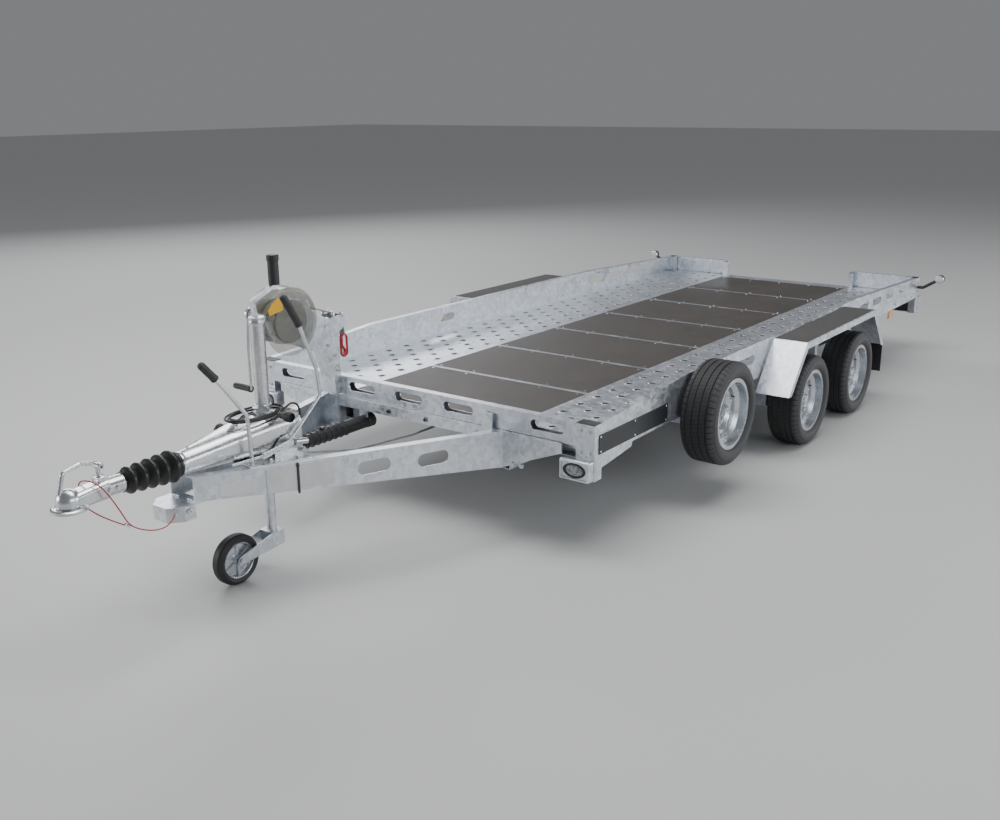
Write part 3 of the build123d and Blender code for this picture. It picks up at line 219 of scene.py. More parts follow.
def copy_of(piece):
    """A copy with a mesh of its own."""
    copy = piece.copy()
    copy.data = piece.data.copy()
    bpy.context.collection.objects.link(copy)
    return copy


def repeat(piece, moves):
    """One object made of the piece's copies, one for each matrix."""
    bpy.ops.object.select_all(action="DESELECT")
    copies = []
    for move in moves:
        copy = copy_of(piece)
        copy.data.transform(move)
        if move.determinant() < 0:
            copy.data.flip_normals()
        copy.select_set(True)
        copies.append(copy)
    bpy.data.objects.remove(piece)
    bpy.context.view_layer.objects.active = copies[0]
    if len(copies) > 1:
        bpy.ops.object.join()
    return bpy.context.object


def join(*parts):
    """One object made of several."""
    bpy.ops.object.select_all(action="DESELECT")
    for part in parts:
        part.select_set(True)
    bpy.context.view_layer.objects.active = parts[0]
    bpy.ops.object.join()
    return parts[0]


def fit(piece, name, finish, body, stands_for=(), smooth=32):
    """Names a finished piece, gives it its finish and hangs it on its body."""
    bpy.ops.object.select_all(action="DESELECT")
    piece.select_set(True)
    bpy.context.view_layer.objects.active = piece
    bpy.ops.object.shade_smooth_by_angle(angle=math.radians(smooth))
    piece.name = piece.data.name = name
    if finish:
        piece.data.materials.clear()
        piece.data.materials.append(finish)
    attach(piece, body)
    if stands_for:
        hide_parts(*stands_for)
    return piece


def turned(profile, steps, closed=False):
    """Lathe-turned piece about the Z axis from a profile of (radius, height) points."""
    piece = start(bpy.ops.mesh.primitive_plane_add, size=0.0001)
    bpy.ops.mesh.select_mode(type="VERT")
    bpy.ops.mesh.select_all(action="SELECT")
    bpy.ops.mesh.merge(type="CENTER")
    bpy.ops.transform.translate(value=(profile[0][0], 0, profile[0][1]))
    for (r0, z0), (r1, z1) in zip(profile, profile[1:] + profile[:1] if closed else profile[1:]):
        bpy.ops.mesh.extrude_vertices_move(TRANSFORM_OT_translate={"value": (r1 - r0, 0, z1 - z0)})
    bpy.ops.mesh.select_all(action="SELECT")
    bpy.ops.mesh.spin(steps=steps, angle=math.tau, center=(0, 0, 0), axis=(0, 0, 1))
    return close(piece)


def facing(place, way):
    """Matrix that puts a piece made about Z at a place, with its Z along a direction."""
    return Matrix.Translation(Vector(place)) @ Vector(way).normalized().to_track_quat("Z", "Y").to_matrix().to_4x4()


def bolt(size):
    """Hexagon head with its chamfer on a washer, standing on the XY plane."""
    head = start(bpy.ops.mesh.primitive_cylinder_add, vertices=6, radius=size * 0.9, depth=size * 0.65,
                 location=(0, 0, size * 0.5), end_fill_type="NGON")
    choose(head, "faces", lambda f: f.normal.z > 0.9)
    inset_and_move(size * 0.12, (0, 0, size * 0.08))
    close(head)
    return join(head, turned([(0, 0.0), (size * 1.25, 0.0), (size * 1.25, size * 0.16), (0, size * 0.18)], 16))


def at(x, y, z):
    """Place given in millimetres from the bed's front, the middle line and the ground."""
    return Vector((bed_front + x / 1000, y / 1000, z / 1000))


frame_bolts = [facing(at(14, side * y, z), (1, 0, 0)) for side in (1, -1)
               for y, z in ((-120, 470), (120, 470), (430, 462), (640, 405), (640, 350), (690, 405), (690, 350))]
frame_bolts += [facing(at(x + 150 + dx, side * 620, 350), (0, side, 0)) for side in (1, -1)
                for x in (-2085, -2865) for dx in (-30, 30)]
fit(repeat(bolt(0.011), frame_bolts), "chassis_bolts", galvanised, "chassis")


# Radial tyres on the four road wheels and the spare: black rubber, cured in a mould
# that leaves four grooves, fine cuts across the ribs and shoulder blocks.
tyre_rubber, shader, place = new_finish("tyre_rubber", 0.0, 0.7)
own = place.node("Attribute", {"attribute_name": "own_place"}, out=1)
turn = own.node("SeparateXYZ", (), {"Vector": own})
across = turn.node("SeparateXYZ", (), {"Vector": own}, out=2)
up = turn.node("SeparateXYZ", (), {"Vector": own}, out=1)
angle = turn.sum("ARCTAN2", up, turn)
radius = turn.sum("SQRT", turn * turn + up * up, 0.0)
off_centre = across.sum("ABSOLUTE", across, 0.0)
slanted = angle * (76 / math.tau) + across * 9.0
cut = turn.sum("FRACT", slanted, 0.0) < 0.13
shoulder = turn.sum("FRACT", angle * (52 / math.tau), 0.0) < 0.2
on_ribs = (radius > 0.2615) * (off_centre < 0.052)
on_shoulder = (off_centre > 0.058) * (radius > 0.243)
serrated = (turn.sum("FRACT", angle * (180 / math.tau), 0.0) < 0.5) * (radius < 0.236) * (radius > 0.229)
film = place.noise(14.0, 5.0)
grain = place.noise(420.0, 2.0)
grooves_sunk_and_shaded = cut * on_ribs + shoulder * on_shoulder
# The colour darkens by the sunk mask in the grooves, cuts and shoulder gaps, which is painted shade in the recesses.
# The same mask also sinks them in the bump.
tone = film * 0.5 + grain * 0.3 + (radius < 0.2615) * 0.35 - grooves_sunk_and_shaded * 0.7
feed(shader, colour=tone.blend((0.006, 0.006, 0.007), (0.062, 0.062, 0.064)), roughness=film * 0.2 + 0.55,
     height=(grain * 0.12 - grooves_sunk_and_shaded + serrated * 0.35, 0.0016))


def keep_own_place(piece):
    """Records where each point is on the piece before it is put in place."""
    own = piece.data.attributes.new("own_place", "FLOAT_VECTOR", "POINT")
    for i, point in enumerate(piece.data.vertices):
        own.data[i].vector = point.co


tyre_side = [(165.4, 58), (165.4, 74.6), (178, 74.8), (182, 74.8), (184, 80), (190, 87), (194, 89.5), (197, 91.5),
             (199, 91.2), (201, 92.4), (209, 94.4), (218, 95), (227, 93.4), (229, 94), (235, 92.4), (236.5, 90.6),
             (243, 86.4), (250, 83), (255.5, 79), (258.6, 74.5), (261, 68), (262.2, 60), (262.5, 57.5),
             (256, 56), (255.4, 50), (262.5, 48.5), (262.5, 24), (255.4, 22.5), (255.4, 15), (262.5, 13.5)]
tyre_inside = [(248, 60), (236, 75), (196, 76), (178, 64)]
tyre_profile = tyre_side + [(r, -h) for r, h in reversed(tyre_side)] + [(r, -h) for r, h in reversed(tyre_inside)]
tyre_profile += tyre_inside
wheels = {"tyre_" + end + "_" + side: (end + "_" + side + "_wheel") for end in ("front", "rear")
          for side in ("left", "right")}
wheels["spare_tyre"] = "chassis"
tyre = turned([(r / 1000, h / 1000) for r, h in tyre_profile], 100, closed=True)
keep_own_place(tyre)


def on_axle(node):
    """Matrix from a wheel made about Z to a wheel's own place, with its outer side outwards."""
    low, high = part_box(node)
    centre = (low + high) / 2
    return facing(centre, (0, math.copysign(1, centre.y), 0))


for node, body in wheels.items():
    copy = copy_of(tyre)
    copy.data.transform(on_axle(node))
    fit(copy, node + "_treaded", tyre_rubber, body, [node], 24)
bpy.data.objects.remove(tyre)


# Pressed steel rims, sprayed silver over their welded discs. The nuts, the hub's
# pressed grease cap and the rubber valve show inside each rim's dish.
rim_silver, shader, place = new_finish("rim_silver", 0.85, 0.34)
swirl = place.noise(22.0, 4.0)
flake = place.cells(700.0)
feed(shader, colour=(swirl * 0.8 + flake * 0.15).blend((0.34, 0.36, 0.39), (0.80, 0.83, 0.87)),
     roughness=swirl * 0.2 + 0.14, height=(flake * 0.4 + swirl, 0.0004))
drum_iron, shader, place = new_finish("drum_iron", 0.6, 0.6)
cast = place.noise(60.0, 5.0)
feed(shader, colour=cast.blend((0.03, 0.03, 0.03), (0.16, 0.15, 0.14)), height=(cast, 0.001))
for node in ("front_left", "front_right", "rear_left", "rear_right"):
    coat(rim_silver, "rim_" + node)
    coat(drum_iron, "hub_drum_" + node)
coat(rim_silver, "spare_rim")
disc_face, stud_circle, pad_circle = 0.003, 0.056, 0.104
spare_bare_studs = (0, 2, 3)
for node, body in wheels.items():
    spare = node == "spare_tyre"
    parts = []
    for i in range(5):
        if spare and i in spare_bare_studs:
            continue
        a = math.radians(90 + 72 * i)
        nut = turned([(0, 0.0), (0.0135, 0.0), (0.0115, 0.005), (0.0095, 0.006), (0, 0.006)], 24)
        head = bolt(0.0105)
        head.data.transform(Matrix.Translation((0, 0, 0.005)))
        nut = join(nut, head)
        tip = turned([(0, 0.012), (0.0062, 0.012), (0.0062, 0.022), (0.005, 0.0235), (0, 0.0235)], 16)
        nut = join(nut, tip)
        nut.data.transform(Matrix.Translation((stud_circle * math.cos(a), stud_circle * math.sin(a), disc_face)))
        parts.append(nut)
    if not spare:
        cap = [(0.0338, 0.0), (0.0338, 0.03), (0.0355, 0.031), (0.0355, 0.036), (0.033, 0.038), (0.0315, 0.046),
               (0.027, 0.051), (0.016, 0.0535), (0, 0.0542)]
        parts.append(turned(cap, 40))
    weld = turned([(0.1345, 0.0), (0.1385, 0.0035), (0.1405, 0.0)], 72)
    weld.data.transform(Matrix.Translation((0, 0, disc_face - 0.0012)))
    pads = []
    for i in range(10):
        a = math.tau * (i + 0.5) / 10
        pad = turned([(0.0001, 0.0022), (0.007, 0.002), (0.0115, 0.0004), (0.012, -0.001)], 16)
        pad_place = (pad_circle * math.cos(a), pad_circle * math.sin(a), disc_face + 0.0162)
        pad.data.transform(Matrix.Translation(pad_place))
        pads.append(pad)
    fittings = join(*parts, weld, *pads)
    fittings.data.transform(on_axle(node))
    fit(fittings, node.replace("tyre", "wheel") + "_nuts_and_cap", rim_silver, body)
    valve = turned([(0, 0.010), (0.0036, 0.010), (0.0036, 0.004), (0.0048, 0.002), (0.006, -0.012), (0, -0.012)], 14)
    valve.data.transform(on_axle(node) @ Matrix.Translation((0.128, 0.052, disc_face + 0.012)))
    fit(valve, node.replace("tyre", "wheel") + "_valve", tyre_rubber, body)


# Folded sheet mudguards with a bright turned-down lip. The top carries a glued-on
# strip of black anti-slip sheet, and a rubber flap hangs behind each rear wheel.
coat(galvanised, "mudguards")
grip_sheet, shader, place = new_finish("anti_slip_sheet", 0.0, 0.85)
grit = place.cells(520.0)
scuff = place.noise(7.0, 6.0, 0.7)
feed(shader, colour=(grit * 0.5 + scuff * 0.6).blend((0.018, 0.018, 0.019), (0.105, 0.1, 0.094)),
     roughness=scuff * 0.25 + 0.65, height=(grit, 0.0012))
flap_rubber, shader, place = new_finish("flap_rubber", 0.0, 0.55)
bloom = place.noise(16.0, 4.0)
feed(shader, colour=bloom.blend((0.008, 0.008, 0.009), (0.035, 0.035, 0.036)), roughness=bloom * 0.3 + 0.4,
     height=(bloom, 0.001))
coat(flap_rubber, "mudflaps")
for side, sign in (("left", 1), ("right", -1)):
    inner, outer = sorted((sign * 1.080, sign * 1.265))
    strip = brick((at(-3030, 0, 0).x, inner, 0.6421), (at(-1915, 0, 0).x, outer, 0.6442))
    choose(strip, "faces", lambda f: f.normal.z > 0.9)
    inset_and_move(0.004, (0, 0, 0.0012))
    fit(close(strip), "mudguard_" + side + "_anti_slip", grip_sheet, "chassis")
    clamp = brick(at(-3281.2, sign * 1176 - 84, 352), at(-3276, sign * 1176 + 84, 376))
    soften(0.0012)
    bolts = [facing(at(-3281.2, sign * y, 364), (-1, 0, 0)) for y in (1106, 1150, 1200, 1246)]
    clamp = join(close(clamp), repeat(bolt(0.0065), bolts))
    stay_bolts = [facing(at(x, sign * 1078, z), (0, -sign, 0)) for x in (-2020, -2930) for z in (560, 600)]
    clamp = join(clamp, repeat(bolt(0.008), stay_bolts))
    fit(clamp, "mudguard_" + side + "_clamp", galvanised, "chassis")


# The bed: folded side walls and front rail welded to hollow corner posts, on cross
# bearers and two long beams. Each post is closed by a black moulded cap.
coat(galvanised, "bed_side_rails", "bed_front_rail", "bed_corner_posts", "bed_rear_sill", "rear_flap_left",
     "rear_flap_right")
# The bearers and long beams take the darker galvanised copy, which is painted shade under the deck.
coat(galvanised_painted_shade, "bed_bearers", "bed_long_beams")
black_moulded, shader, place = new_finish("black_moulded_plastic", 0.0, 0.5)
leather = place.cells(380.0)
haze = place.noise(30.0, 3.0)
feed(shader, colour=haze.blend((0.012, 0.012, 0.013), (0.045, 0.045, 0.047)), roughness=haze * 0.25 + 0.36,
     height=(leather, 0.0006))
caps = []
for sign in (1, -1):
    low, high = sorted((sign * 974, sign * 1070))
    cap = brick(at(-60, low, 602), at(0, high, 606))
    soften(0.0016)
    choose(cap, "faces", lambda f: f.normal.z > 0.99 and f.calc_area() > 0.001)
    inset_and_move(0.006, (0, 0, -0.0012))
    caps.append(close(cap))
for sign in (1, -1):
    for y0, y1, x0, x1, top in ((1020, 1070, -4735, -4675, 602), (529, 563, -4735, -4705, 590)):
        low, high = sorted((sign * y0, sign * y1))
        cap = brick(at(x0, low, top), at(x1, high, top + 3))
        soften(0.001)
        caps.append(close(cap))
fit(join(*caps), "corner_post_caps", black_moulded, "bed")
post_bolts = [facing(at(0, sign * y, z), (1, 0, 0)) for sign in (1, -1) for y in (1000, 1046) for z in (470, 570)]
post_bolts += [facing(at(x, sign * 1070, z), (0, sign, 0)) for sign in (1, -1)
               for x, z in ((-4170, 478), (-4560, 478), (-4700, 500), (-4700, 560))]
fit(repeat(bolt(0.0085), post_bolts), "corner_post_bolts", galvanised, "bed")


# Wheel tracks of folded sheet. Each hole in the staggered rows is punched upwards, so that its torn rim stands proud
# and grips a tyre. A dark disc laid in each hole is painted shade, so that the hole shows dark inside.
coat(galvanised, "track_plates")
deck_top, pitch, rows = 0.48, 0.160, (0.606, 0.702, 0.798, 0.894, 0.990)
first_hole, last_hole, post_rear, post_row = -0.135, -4.62, -0.14, 0.95
rim = turned([(0.0235, 0.0), (0.0215, 0.0009), (0.0188, 0.0024), (0.0176, 0.0026), (0.0168, 0.0019),
              (0.0164, 0.0004)], 16)
holes = []
for sign in (1, -1):
    for i, row in enumerate(rows):
        for k in range(29):
            x = first_hole - pitch * k - (pitch / 2 if i % 2 else 0)
            if x > last_hole and not (row > post_row and x > post_rear):
                place = Matrix.Translation((bed_front + x, sign * row, deck_top))
                holes.append(place @ Matrix.Scale(1.2, 4, (1, 0, 0)))
fit(repeat(rim, holes), "track_plate_punched_rims", galvanised, "bed", smooth=60)
# Dark disc in each hole: painted shade.
shade = turned([(0.0168, 0.0003), (0.008, 0.0004), (0, 0.0004)], 14)
hole_painted_shade, shader, place = new_finish("hole_shade", 0.0, 0.9)
murk = place.noise(90.0, 2.0)
feed(shader, colour=murk.blend((0.004, 0.004, 0.005), (0.028, 0.03, 0.034)), roughness=murk * 0.2 + 0.75)
fit(repeat(shade, holes), "track_plate_holes_painted_shade", hole_painted_shade, "bed")


# Centre deck of seven plywood boards with a dark phenol film, screwed down at their
# edges. The film has a pressed mesh, and wears paler where feet and straps drag.
deck_film, shader, place = new_finish("film_faced_board", 0.0, 0.5, coat=0.12)
mesh = place.node("Mapping", (), {"Vector": place, "Scale": (1, 1, 0)})
weave = mesh.waves("X", 150.0)
weft = mesh.waves("Y", 150.0)
dust = mesh.noise(2.6, 9.0, 0.72)
drag = place.node("Mapping", (), {"Vector": mesh, "Scale": (1.4, 26.0, 0)})
drag = drag.noise(3.0, 6.0, 0.8)
speck = mesh.noise(240.0, 2.0)
tone = dust * 0.85 + drag * 0.3 + speck * 0.3 + weave * weft * 0.12 - 0.32
feed(shader, colour=tone.blend((0.022, 0.018, 0.015), (0.092, 0.077, 0.065)), roughness=dust * 0.3 + 0.34,
     height=(weave * weft * 0.7 + speck * 0.6, 0.0005))
coat(deck_film, "deck_panels")
screw = turned([(0.0065, 0.0), (0.0058, 0.0011), (0.0022, 0.0012), (0.0016, 0.0003), (0, 0.0003)], 12)
screws = []
first_joint, board, screw_inset = -0.799, 0.636, 0.036
edges = [-0.042] + [first_joint - board * i for i in range(7)]
for front, rear in zip(edges, edges[1:]):
    for x in (front - screw_inset, rear + screw_inset):
        screws += [Matrix.Translation((bed_front + x, y, deck_top)) for y in (-0.49, -0.25, 0.0, 0.25, 0.49)]
bright_zinc, shader, place = new_finish("bright_zinc", 1.0, 0.24)
wipe = place.noise(18.0, 5.0, 0.65)
fine = place.noise(260.0, 2.0)
feed(shader, colour=(wipe * 0.9 + fine * 0.1).blend((0.56, 0.58, 0.60), (0.90, 0.91, 0.92)),
     roughness=wipe * 0.3 + 0.12, height=(wipe * 0.6 + fine * 0.4, 0.0004))
fit(repeat(screw, screws), "deck_screws", bright_zinc, "bed")


# Plain dark panels riveted to the side walls behind the front posts. They are
# aluminium sheet with a satin blue-black paint.
panel_paint, shader, place = new_finish("panel_paint", 0.0, 0.42, coat=0.1)
orange_peel = place.noise(130.0, 2.0)
road_dust = place.noise(6.0, 7.0, 0.7)
feed(shader, colour=road_dust.blend((0.005, 0.006, 0.009), (0.022, 0.025, 0.032)), roughness=road_dust * 0.2 + 0.34,
     height=(orange_peel, 0.0002))
coat(panel_paint, "side_panels")
rivets = [facing(at(x, side * 1073, z), (0, side, 0)) for side in (1, -1) for x in (-48, -345, -641)
          for z in (475, 543)]
rivet = turned([(0.0045, 0.0), (0.0042, 0.0012), (0.0025, 0.0023), (0, 0.0027)], 14)
fit(repeat(rivet, rivets), "side_panel_rivets", bright_zinc, "bed")


# Front marker lamps: a folded galvanised guard round a dark moulding, with a long
# oval lens of faceted plastic that looks grey over its reflector.
coat(galvanised, "front_marker_lamps")
seats, lenses = [], []
marker_y = 994
for sign in (1, -1):
    oval = facing(at(41.5, sign * marker_y, 398), (1, 0, 0)) @ Matrix.Scale(1.7, 4, (1, 0, 0))
    rim = turned([(0.034, 0.0), (0.034, 0.004), (0.030, 0.0055), (0.0275, 0.0045), (0.0265, 0.001), (0, 0.001)], 40)
    rim.data.transform(oval)
    seats.append(rim)
    lens = turned([(0.0265, 0.0012), (0.022, 0.0052), (0.014, 0.0078), (0.006, 0.0088), (0, 0.009)], 40)
    lens.data.transform(oval)
    lenses.append(lens)
fit(join(*seats), "front_marker_seats", black_moulded, "bed")
grey_lens, shader, place = new_finish("grey_lens", 0.0, 0.1, coat=0.8)
cells = place.cells(130.0)
feed(shader, colour=cells.blend((0.05, 0.055, 0.06), (0.42, 0.44, 0.46)), roughness=cells * 0.2 + 0.06,
     height=(cells, 0.0012))
fit(join(*lenses), "front_marker_lenses", grey_lens, "bed")
hoods = []
for sign in (1, -1):
    hood = brick(at(0, sign * marker_y - 77, 350.8), at(50, sign * marker_y + 77, 446))
    soften(0.009, 3)
    choose(hood, "faces", lambda f: f.normal.x > 0.98)
    bpy.ops.mesh.inset(thickness=0.0022)
    bpy.ops.mesh.extrude_region_move(TRANSFORM_OT_translate={"value": (-0.0075, 0, 0)})
    hoods.append(close(hood))
fit(join(*hoods), "front_marker_hoods", galvanised, "bed")


# Rear lamp clusters: a black moulded tray with a row of red, amber and clear lenses,
# inside a guard of galvanised strip fixed to the corner post.
red_lens, shader, place = new_finish("red_lens", 0.0, 0.1, coat=0.8)
cells = place.cells(210.0)
feed(shader, colour=cells.blend((0.42, 0.010, 0.008), (0.68, 0.045, 0.03)), roughness=cells * 0.15 + 0.07,
     height=(cells, 0.0008))
amber_lens, shader, place = new_finish("amber_lens", 0.0, 0.12, coat=0.8)
cells = place.cells(210.0)
feed(shader, colour=cells.blend((0.85, 0.26, 0.012), (0.98, 0.45, 0.05)), roughness=cells * 0.15 + 0.07,
     height=(cells, 0.0008))
pale_lens, shader, place = new_finish("pale_lens", 0.0, 0.12, coat=0.7)
flutes = place.waves("Y", 60.0)
depth = place.noise(35.0, 2.0)
feed(shader, colour=(flutes * 0.4 + depth * 0.6).blend((0.34, 0.36, 0.37), (0.86, 0.88, 0.88)),
     roughness=depth * 0.1 + 0.08, height=(flutes, 0.001))
trays, guards = [], []
for side, sign in (("left", 1), ("right", -1)):
    y0, y1 = sorted((sign * 820, sign * 1070))
    tray = brick(at(-4827, y0, 330), at(-4735, y1, 440))
    soften(0.010, 3)
    choose(tray, "faces", lambda f: f.normal.x < -0.98)
    bpy.ops.mesh.inset(thickness=0.007)
    bpy.ops.mesh.extrude_region_move(TRANSFORM_OT_translate={"value": (0.012, 0, 0)})
    trays.append(close(tray))
    for kind, finish, start_y, end_y in (("brake", red_lens, 1060, 976), ("turn", amber_lens, 973, 903),
                                         ("reverse", pale_lens, 900, 866), ("fog", red_lens, 863, 830)):
        b0, b1 = sorted((sign * start_y, sign * end_y))
        lens = brick(at(-4823, b0, 340), at(-4814, b1, 430))
        soften(0.003, 2)
        choose(lens, "faces", lambda f: f.normal.x < -0.98)
        inset_and_move(0.006, (-0.002, 0, 0))
        fit(close(lens), "rear_lens_" + kind + "_" + side, finish, "bed")
    for z in (324, 440):
        strap = brick(at(-4822, y0, z), at(-4735, y1, z + 5))
        soften(0.0015)
        choose(strap, "faces", lambda f: f.normal.x < -0.98)
        guards.append(close(strap))
    post = brick(at(-4822, sign * 1070 - (5 if sign < 0 else 0), 324),
                 at(-4735, sign * 1070 + (5 if sign > 0 else 0), 445))
    choose(post, "faces", lambda f: abs(f.normal.y) > 0.98)
    inset_and_move(0.016, (0, -sign * 0.0012, 0))
    guards.append(close(post))
fit(join(*trays), "rear_lamp_trays", black_moulded, "bed", ["rear_lamp_units"])
fit(join(*guards), "rear_lamp_guards", galvanised, "bed")
reflectors = []
for sign in (1, -1):
    y0, y1 = sorted((sign * 1071, sign * 1078))
    block = brick(at(-4106, y0, 398), at(-4022, y1, 458))
    soften(0.002)
    choose(block, "faces", lambda f: abs(f.normal.y) > 0.98)
    inset_and_move(0.005, (0, sign * 0.0005, 0))
    reflectors.append(close(block))
fit(join(*reflectors), "side_reflectors", amber_lens, "bed")
hangers = []
for sign in (1, -1):
    y0, y1 = sorted((sign * 1066, sign * 1071))
    tab = brick(at(-4112, y0, 392), at(-4016, y1, 462))
    soften(0.0012)
    hangers.append(close(tab))
fit(join(*hangers), "side_reflector_tabs", galvanised, "bed")


# Outline lamps on bent rubber stalks at the rear corners, white to the front and
# red to the rear, each lens snapped into a turned collar.
coat(black_moulded, "rear_marker_stalks")
fronts, backs = [], []
for sign in (1, -1):
    tip = at(-4705, sign * 1228, 605)
    for group, look in ((fronts, 1), (backs, -1)):
        lens = turned([(0.028, 0.021), (0.0265, 0.025), (0.018, 0.0284), (0.008, 0.0296), (0, 0.03)], 32)
        lens.data.transform(facing(tip, (look, 0, 0)))
        collar = turned([(0, 0.0), (0.029, 0.0), (0.0315, 0.004), (0.0315, 0.020), (0.0300, 0.0235), (0.0275, 0.024),
                         (0, 0.024)], 32)
        collar.data.transform(facing(tip, (look, 0, 0)))
        group.append(lens)
        fit(collar, "stalk_lamp_body_" + ("left_" if sign > 0 else "right_") + ("front" if look > 0 else "rear"),
            bright_zinc if look > 0 else black_moulded, "bed")
fit(join(*fronts), "stalk_lenses_front", pale_lens, "bed")
fit(join(*backs), "stalk_lenses_rear", red_lens, "bed")


# Loading flaps: each short folded board turns on a plain rod in two ears, and bright
# collars at the rod's ends keep it in.
pins = [facing(at(-4757, side * y, 476), (0, 1, 0)) for side in (1, -1) for y in (540, 1052)]
collar = turned([(0.0072, -0.006), (0.012, -0.006), (0.0125, -0.004), (0.0125, 0.004), (0.012, 0.006),
                 (0.0072, 0.006)], 20)
for side, sign in (("left", 1), ("right", -1)):
    places = [m for m in pins if math.copysign(1, m.translation.y) == sign]
    fit(repeat(copy_of(collar), places), "rear_flap_collars_" + side, bright_zinc, side + "_flap")
bpy.data.objects.remove(collar)


# Overrun housing: a cast nose with a band and grease nipples carries the draw tube,
# and its tail, bolted through a base plate to the V rails, holds the jockey tube.
coat(bright_zinc, "overrun_housing", "coupling_head", "coupling_handle", "jockey_tube", "jockey_clamp_lever",
     "parking_brake_lever")


# The V rails start behind the cross-member's face, run forward, rise and close in.
rail_rear, rail_run, rail_rise, rail_close, rail_nose_y = 14, 1325, 57, 513, 75
rail_top, base_plate = 498, 6.7


def on_rails(x):
    """Height of the base plate's top at a place along the drawbar, in millimetres."""
    return rail_top + rail_rise * (x - rail_rear) / rail_run + base_plate


places = [facing(at(x, side * y, on_rails(x)), (0, 0, 1)) for side in (1, -1)
          for x, y in ((808, 124), (905, 200), (1010, 150), (1090, 128))]
fit(repeat(bolt(0.0105), places), "housing_bolts", galvanised, "chassis")
band = turned([(0.0452, -0.012), (0.0485, -0.011), (0.0495, -0.006), (0.0495, 0.006), (0.0485, 0.011),
               (0.0452, 0.012)], 56)
band.data.transform(facing(at(1344, 0, 600), (1, 0, 0)))
nipples = [facing(at(x, 0, z), (0, 0, 1)) for x, z in ((1296, 650), (1050, 686))]
nipple = turned([(0.007, -0.004), (0.007, 0.003), (0.005, 0.004), (0.005, 0.008), (0.0035, 0.009), (0.0042, 0.012),
                 (0.003, 0.0145), (0, 0.015)], 14)
fit(join(band, repeat(nipple, nipples)), "housing_nose_band", bright_zinc, "chassis")
knob = turned([(0, 0.0), (0.020, 0.0), (0.024, 0.003), (0.0255, 0.010), (0.0255, 0.022), (0.0235, 0.026),
               (0.021, 0.0275), (0.018, 0.0262), (0, 0.0258)], 32)
knob.data.transform(facing(at(1080, -56, 655), (0.1, -1.0, 0.35)))
fit(knob, "housing_cap", black_moulded, "chassis")


# Rubber bellows over the draw tube, moulded with deep round ribs and a plain cuff
# at each end, and held by a clip on the housing's nose.
bellows_rubber, shader, place = new_finish("bellows_rubber", 0.0, 0.3)
bloom = place.noise(24.0, 5.0, 0.6)
pores = place.noise(500.0, 1.0)
feed(shader, colour=bloom.blend((0.006, 0.006, 0.006), (0.030, 0.030, 0.031)), roughness=bloom * 0.3 + 0.18,
     height=(bloom * 0.7 + pores * 0.3, 0.0006))
profile = [(27.4, 0.0), (50, 0.0), (51.5, 3.0), (51.5, 12.0)]
for rib in range(5):
    start_z, peak = 12 + 46 * rib, 65.5 - 3 * rib
    for share in range(1, 13):
        swell = 0.5 - 0.5 * math.cos(math.tau * share / 12)
        profile.append((peak - 21 + 21 * swell ** 0.62, start_z + 46 * share / 12))
profile += [(38.5, 246), (39.5, 249), (27.4, 250)]
bellows = turned([(r / 1000, z / 1000) for r, z in profile], 64, closed=True)
bellows.data.transform(facing(at(1350, 0, 600), (1, 0, 0)))
fit(bellows, "bellows_ribbed", bellows_rubber, "chassis", ["bellows"], 50)


# Coupling head: pressed steel, held to the draw tube by two cross bolts, with a
# rolled rim round its socket and lugs on top for the handle's boss.
flange = turned([(0.0655, -0.0035), (0.0655, -0.0015), (0.0625, 0.0), (0.0595, 0.0018), (0.054, 0.0022),
                 (0.054, -0.0035)], 64, closed=True)
flange.data.transform(Matrix.Translation(at(1815, 0, 572)))
cross = [facing(at(1636 + dx, side * 35, 600), (0, side, 0)) for dx in (0, 34) for side in (1, -1)]
lugs = brick(at(1664, -24, 633), at(1704, 24, 652))
soften(0.004, 3)
choose(lugs, "faces", lambda f: f.normal.z > 0.98)
inset_and_move(0.006, (0, 0, -0.003))
close(lugs)
eye = turned([(0.006, -0.028), (0.0115, -0.028), (0.0125, -0.0265), (0.0125, 0.0265), (0.0115, 0.028),
              (0.006, 0.028)], 24, closed=True)
eye.data.transform(facing(at(1688, 0, 694), (0, 1, 0)))
head = join(flange, repeat(bolt(0.0105), cross), lugs)
fit(head, "coupling_head_fittings", bright_zinc, "chassis")
fit(eye, "coupling_handle_boss", bright_zinc, "chassis")


# Lever grips: black moulded sleeves pushed over the bars, with a rolled mouth and a
# rounded end. The jockey's grip turns on its crank and has a cap.
def grip(name, start_point, end_point, radius, mouth, body):
    """Moulded grip from one point to another."""
    run = Vector(end_point) - Vector(start_point)
    length = run.length
    outline = [(radius * 0.55, -0.0004), (radius * mouth, -0.0004), (radius * mouth, 0.010),
               (radius * 1.02, 0.014), (radius, 0.022)]
    for k in range(1, 7):
        outline.append((radius * (1.0 + 0.03 * (k % 2)), 0.022 + (length - 0.04) * k / 7))
    outline += [(radius, length - 0.002), (radius * 0.96, length + 0.002), (radius * 0.84, length + 0.0055),
                (radius * 0.55, length + 0.0085), (radius * 0.25, length + 0.0095), (0, length + 0.0097)]
    sleeve = turned(outline, 36)
    sleeve.data.transform(facing(start_point, run))
    return fit(sleeve, name, black_moulded, body, smooth=50)


grip("jockey_clamp_grip", at(1230, 122, 935), at(1288.5, 122, 1000.6), 0.0158, 1.08, "chassis")
grip("parking_brake_grip", at(787, 122, 1069), at(862.5, 122, 1195.9), 0.0158, 1.08, "chassis")
grip("winch_grip", at(474, -594, 614), at(474, -708.5, 614), 0.0158, 1.1, "bed")
grip("jockey_crank_grip", at(798, 0, 1228), at(798, 0, 1341), 0.0226, 1.0, "chassis")
cap = turned([(0.0222, -0.026), (0.0248, -0.025), (0.0256, -0.018), (0.0256, -0.006), (0.0246, -0.001),
              (0.0225, 0.0006), (0, 0.0008)], 36)
cap.data.transform(Matrix.Translation(at(798, 0, 1351.5)))
fit(cap, "jockey_crank_cap", black_moulded, "chassis")


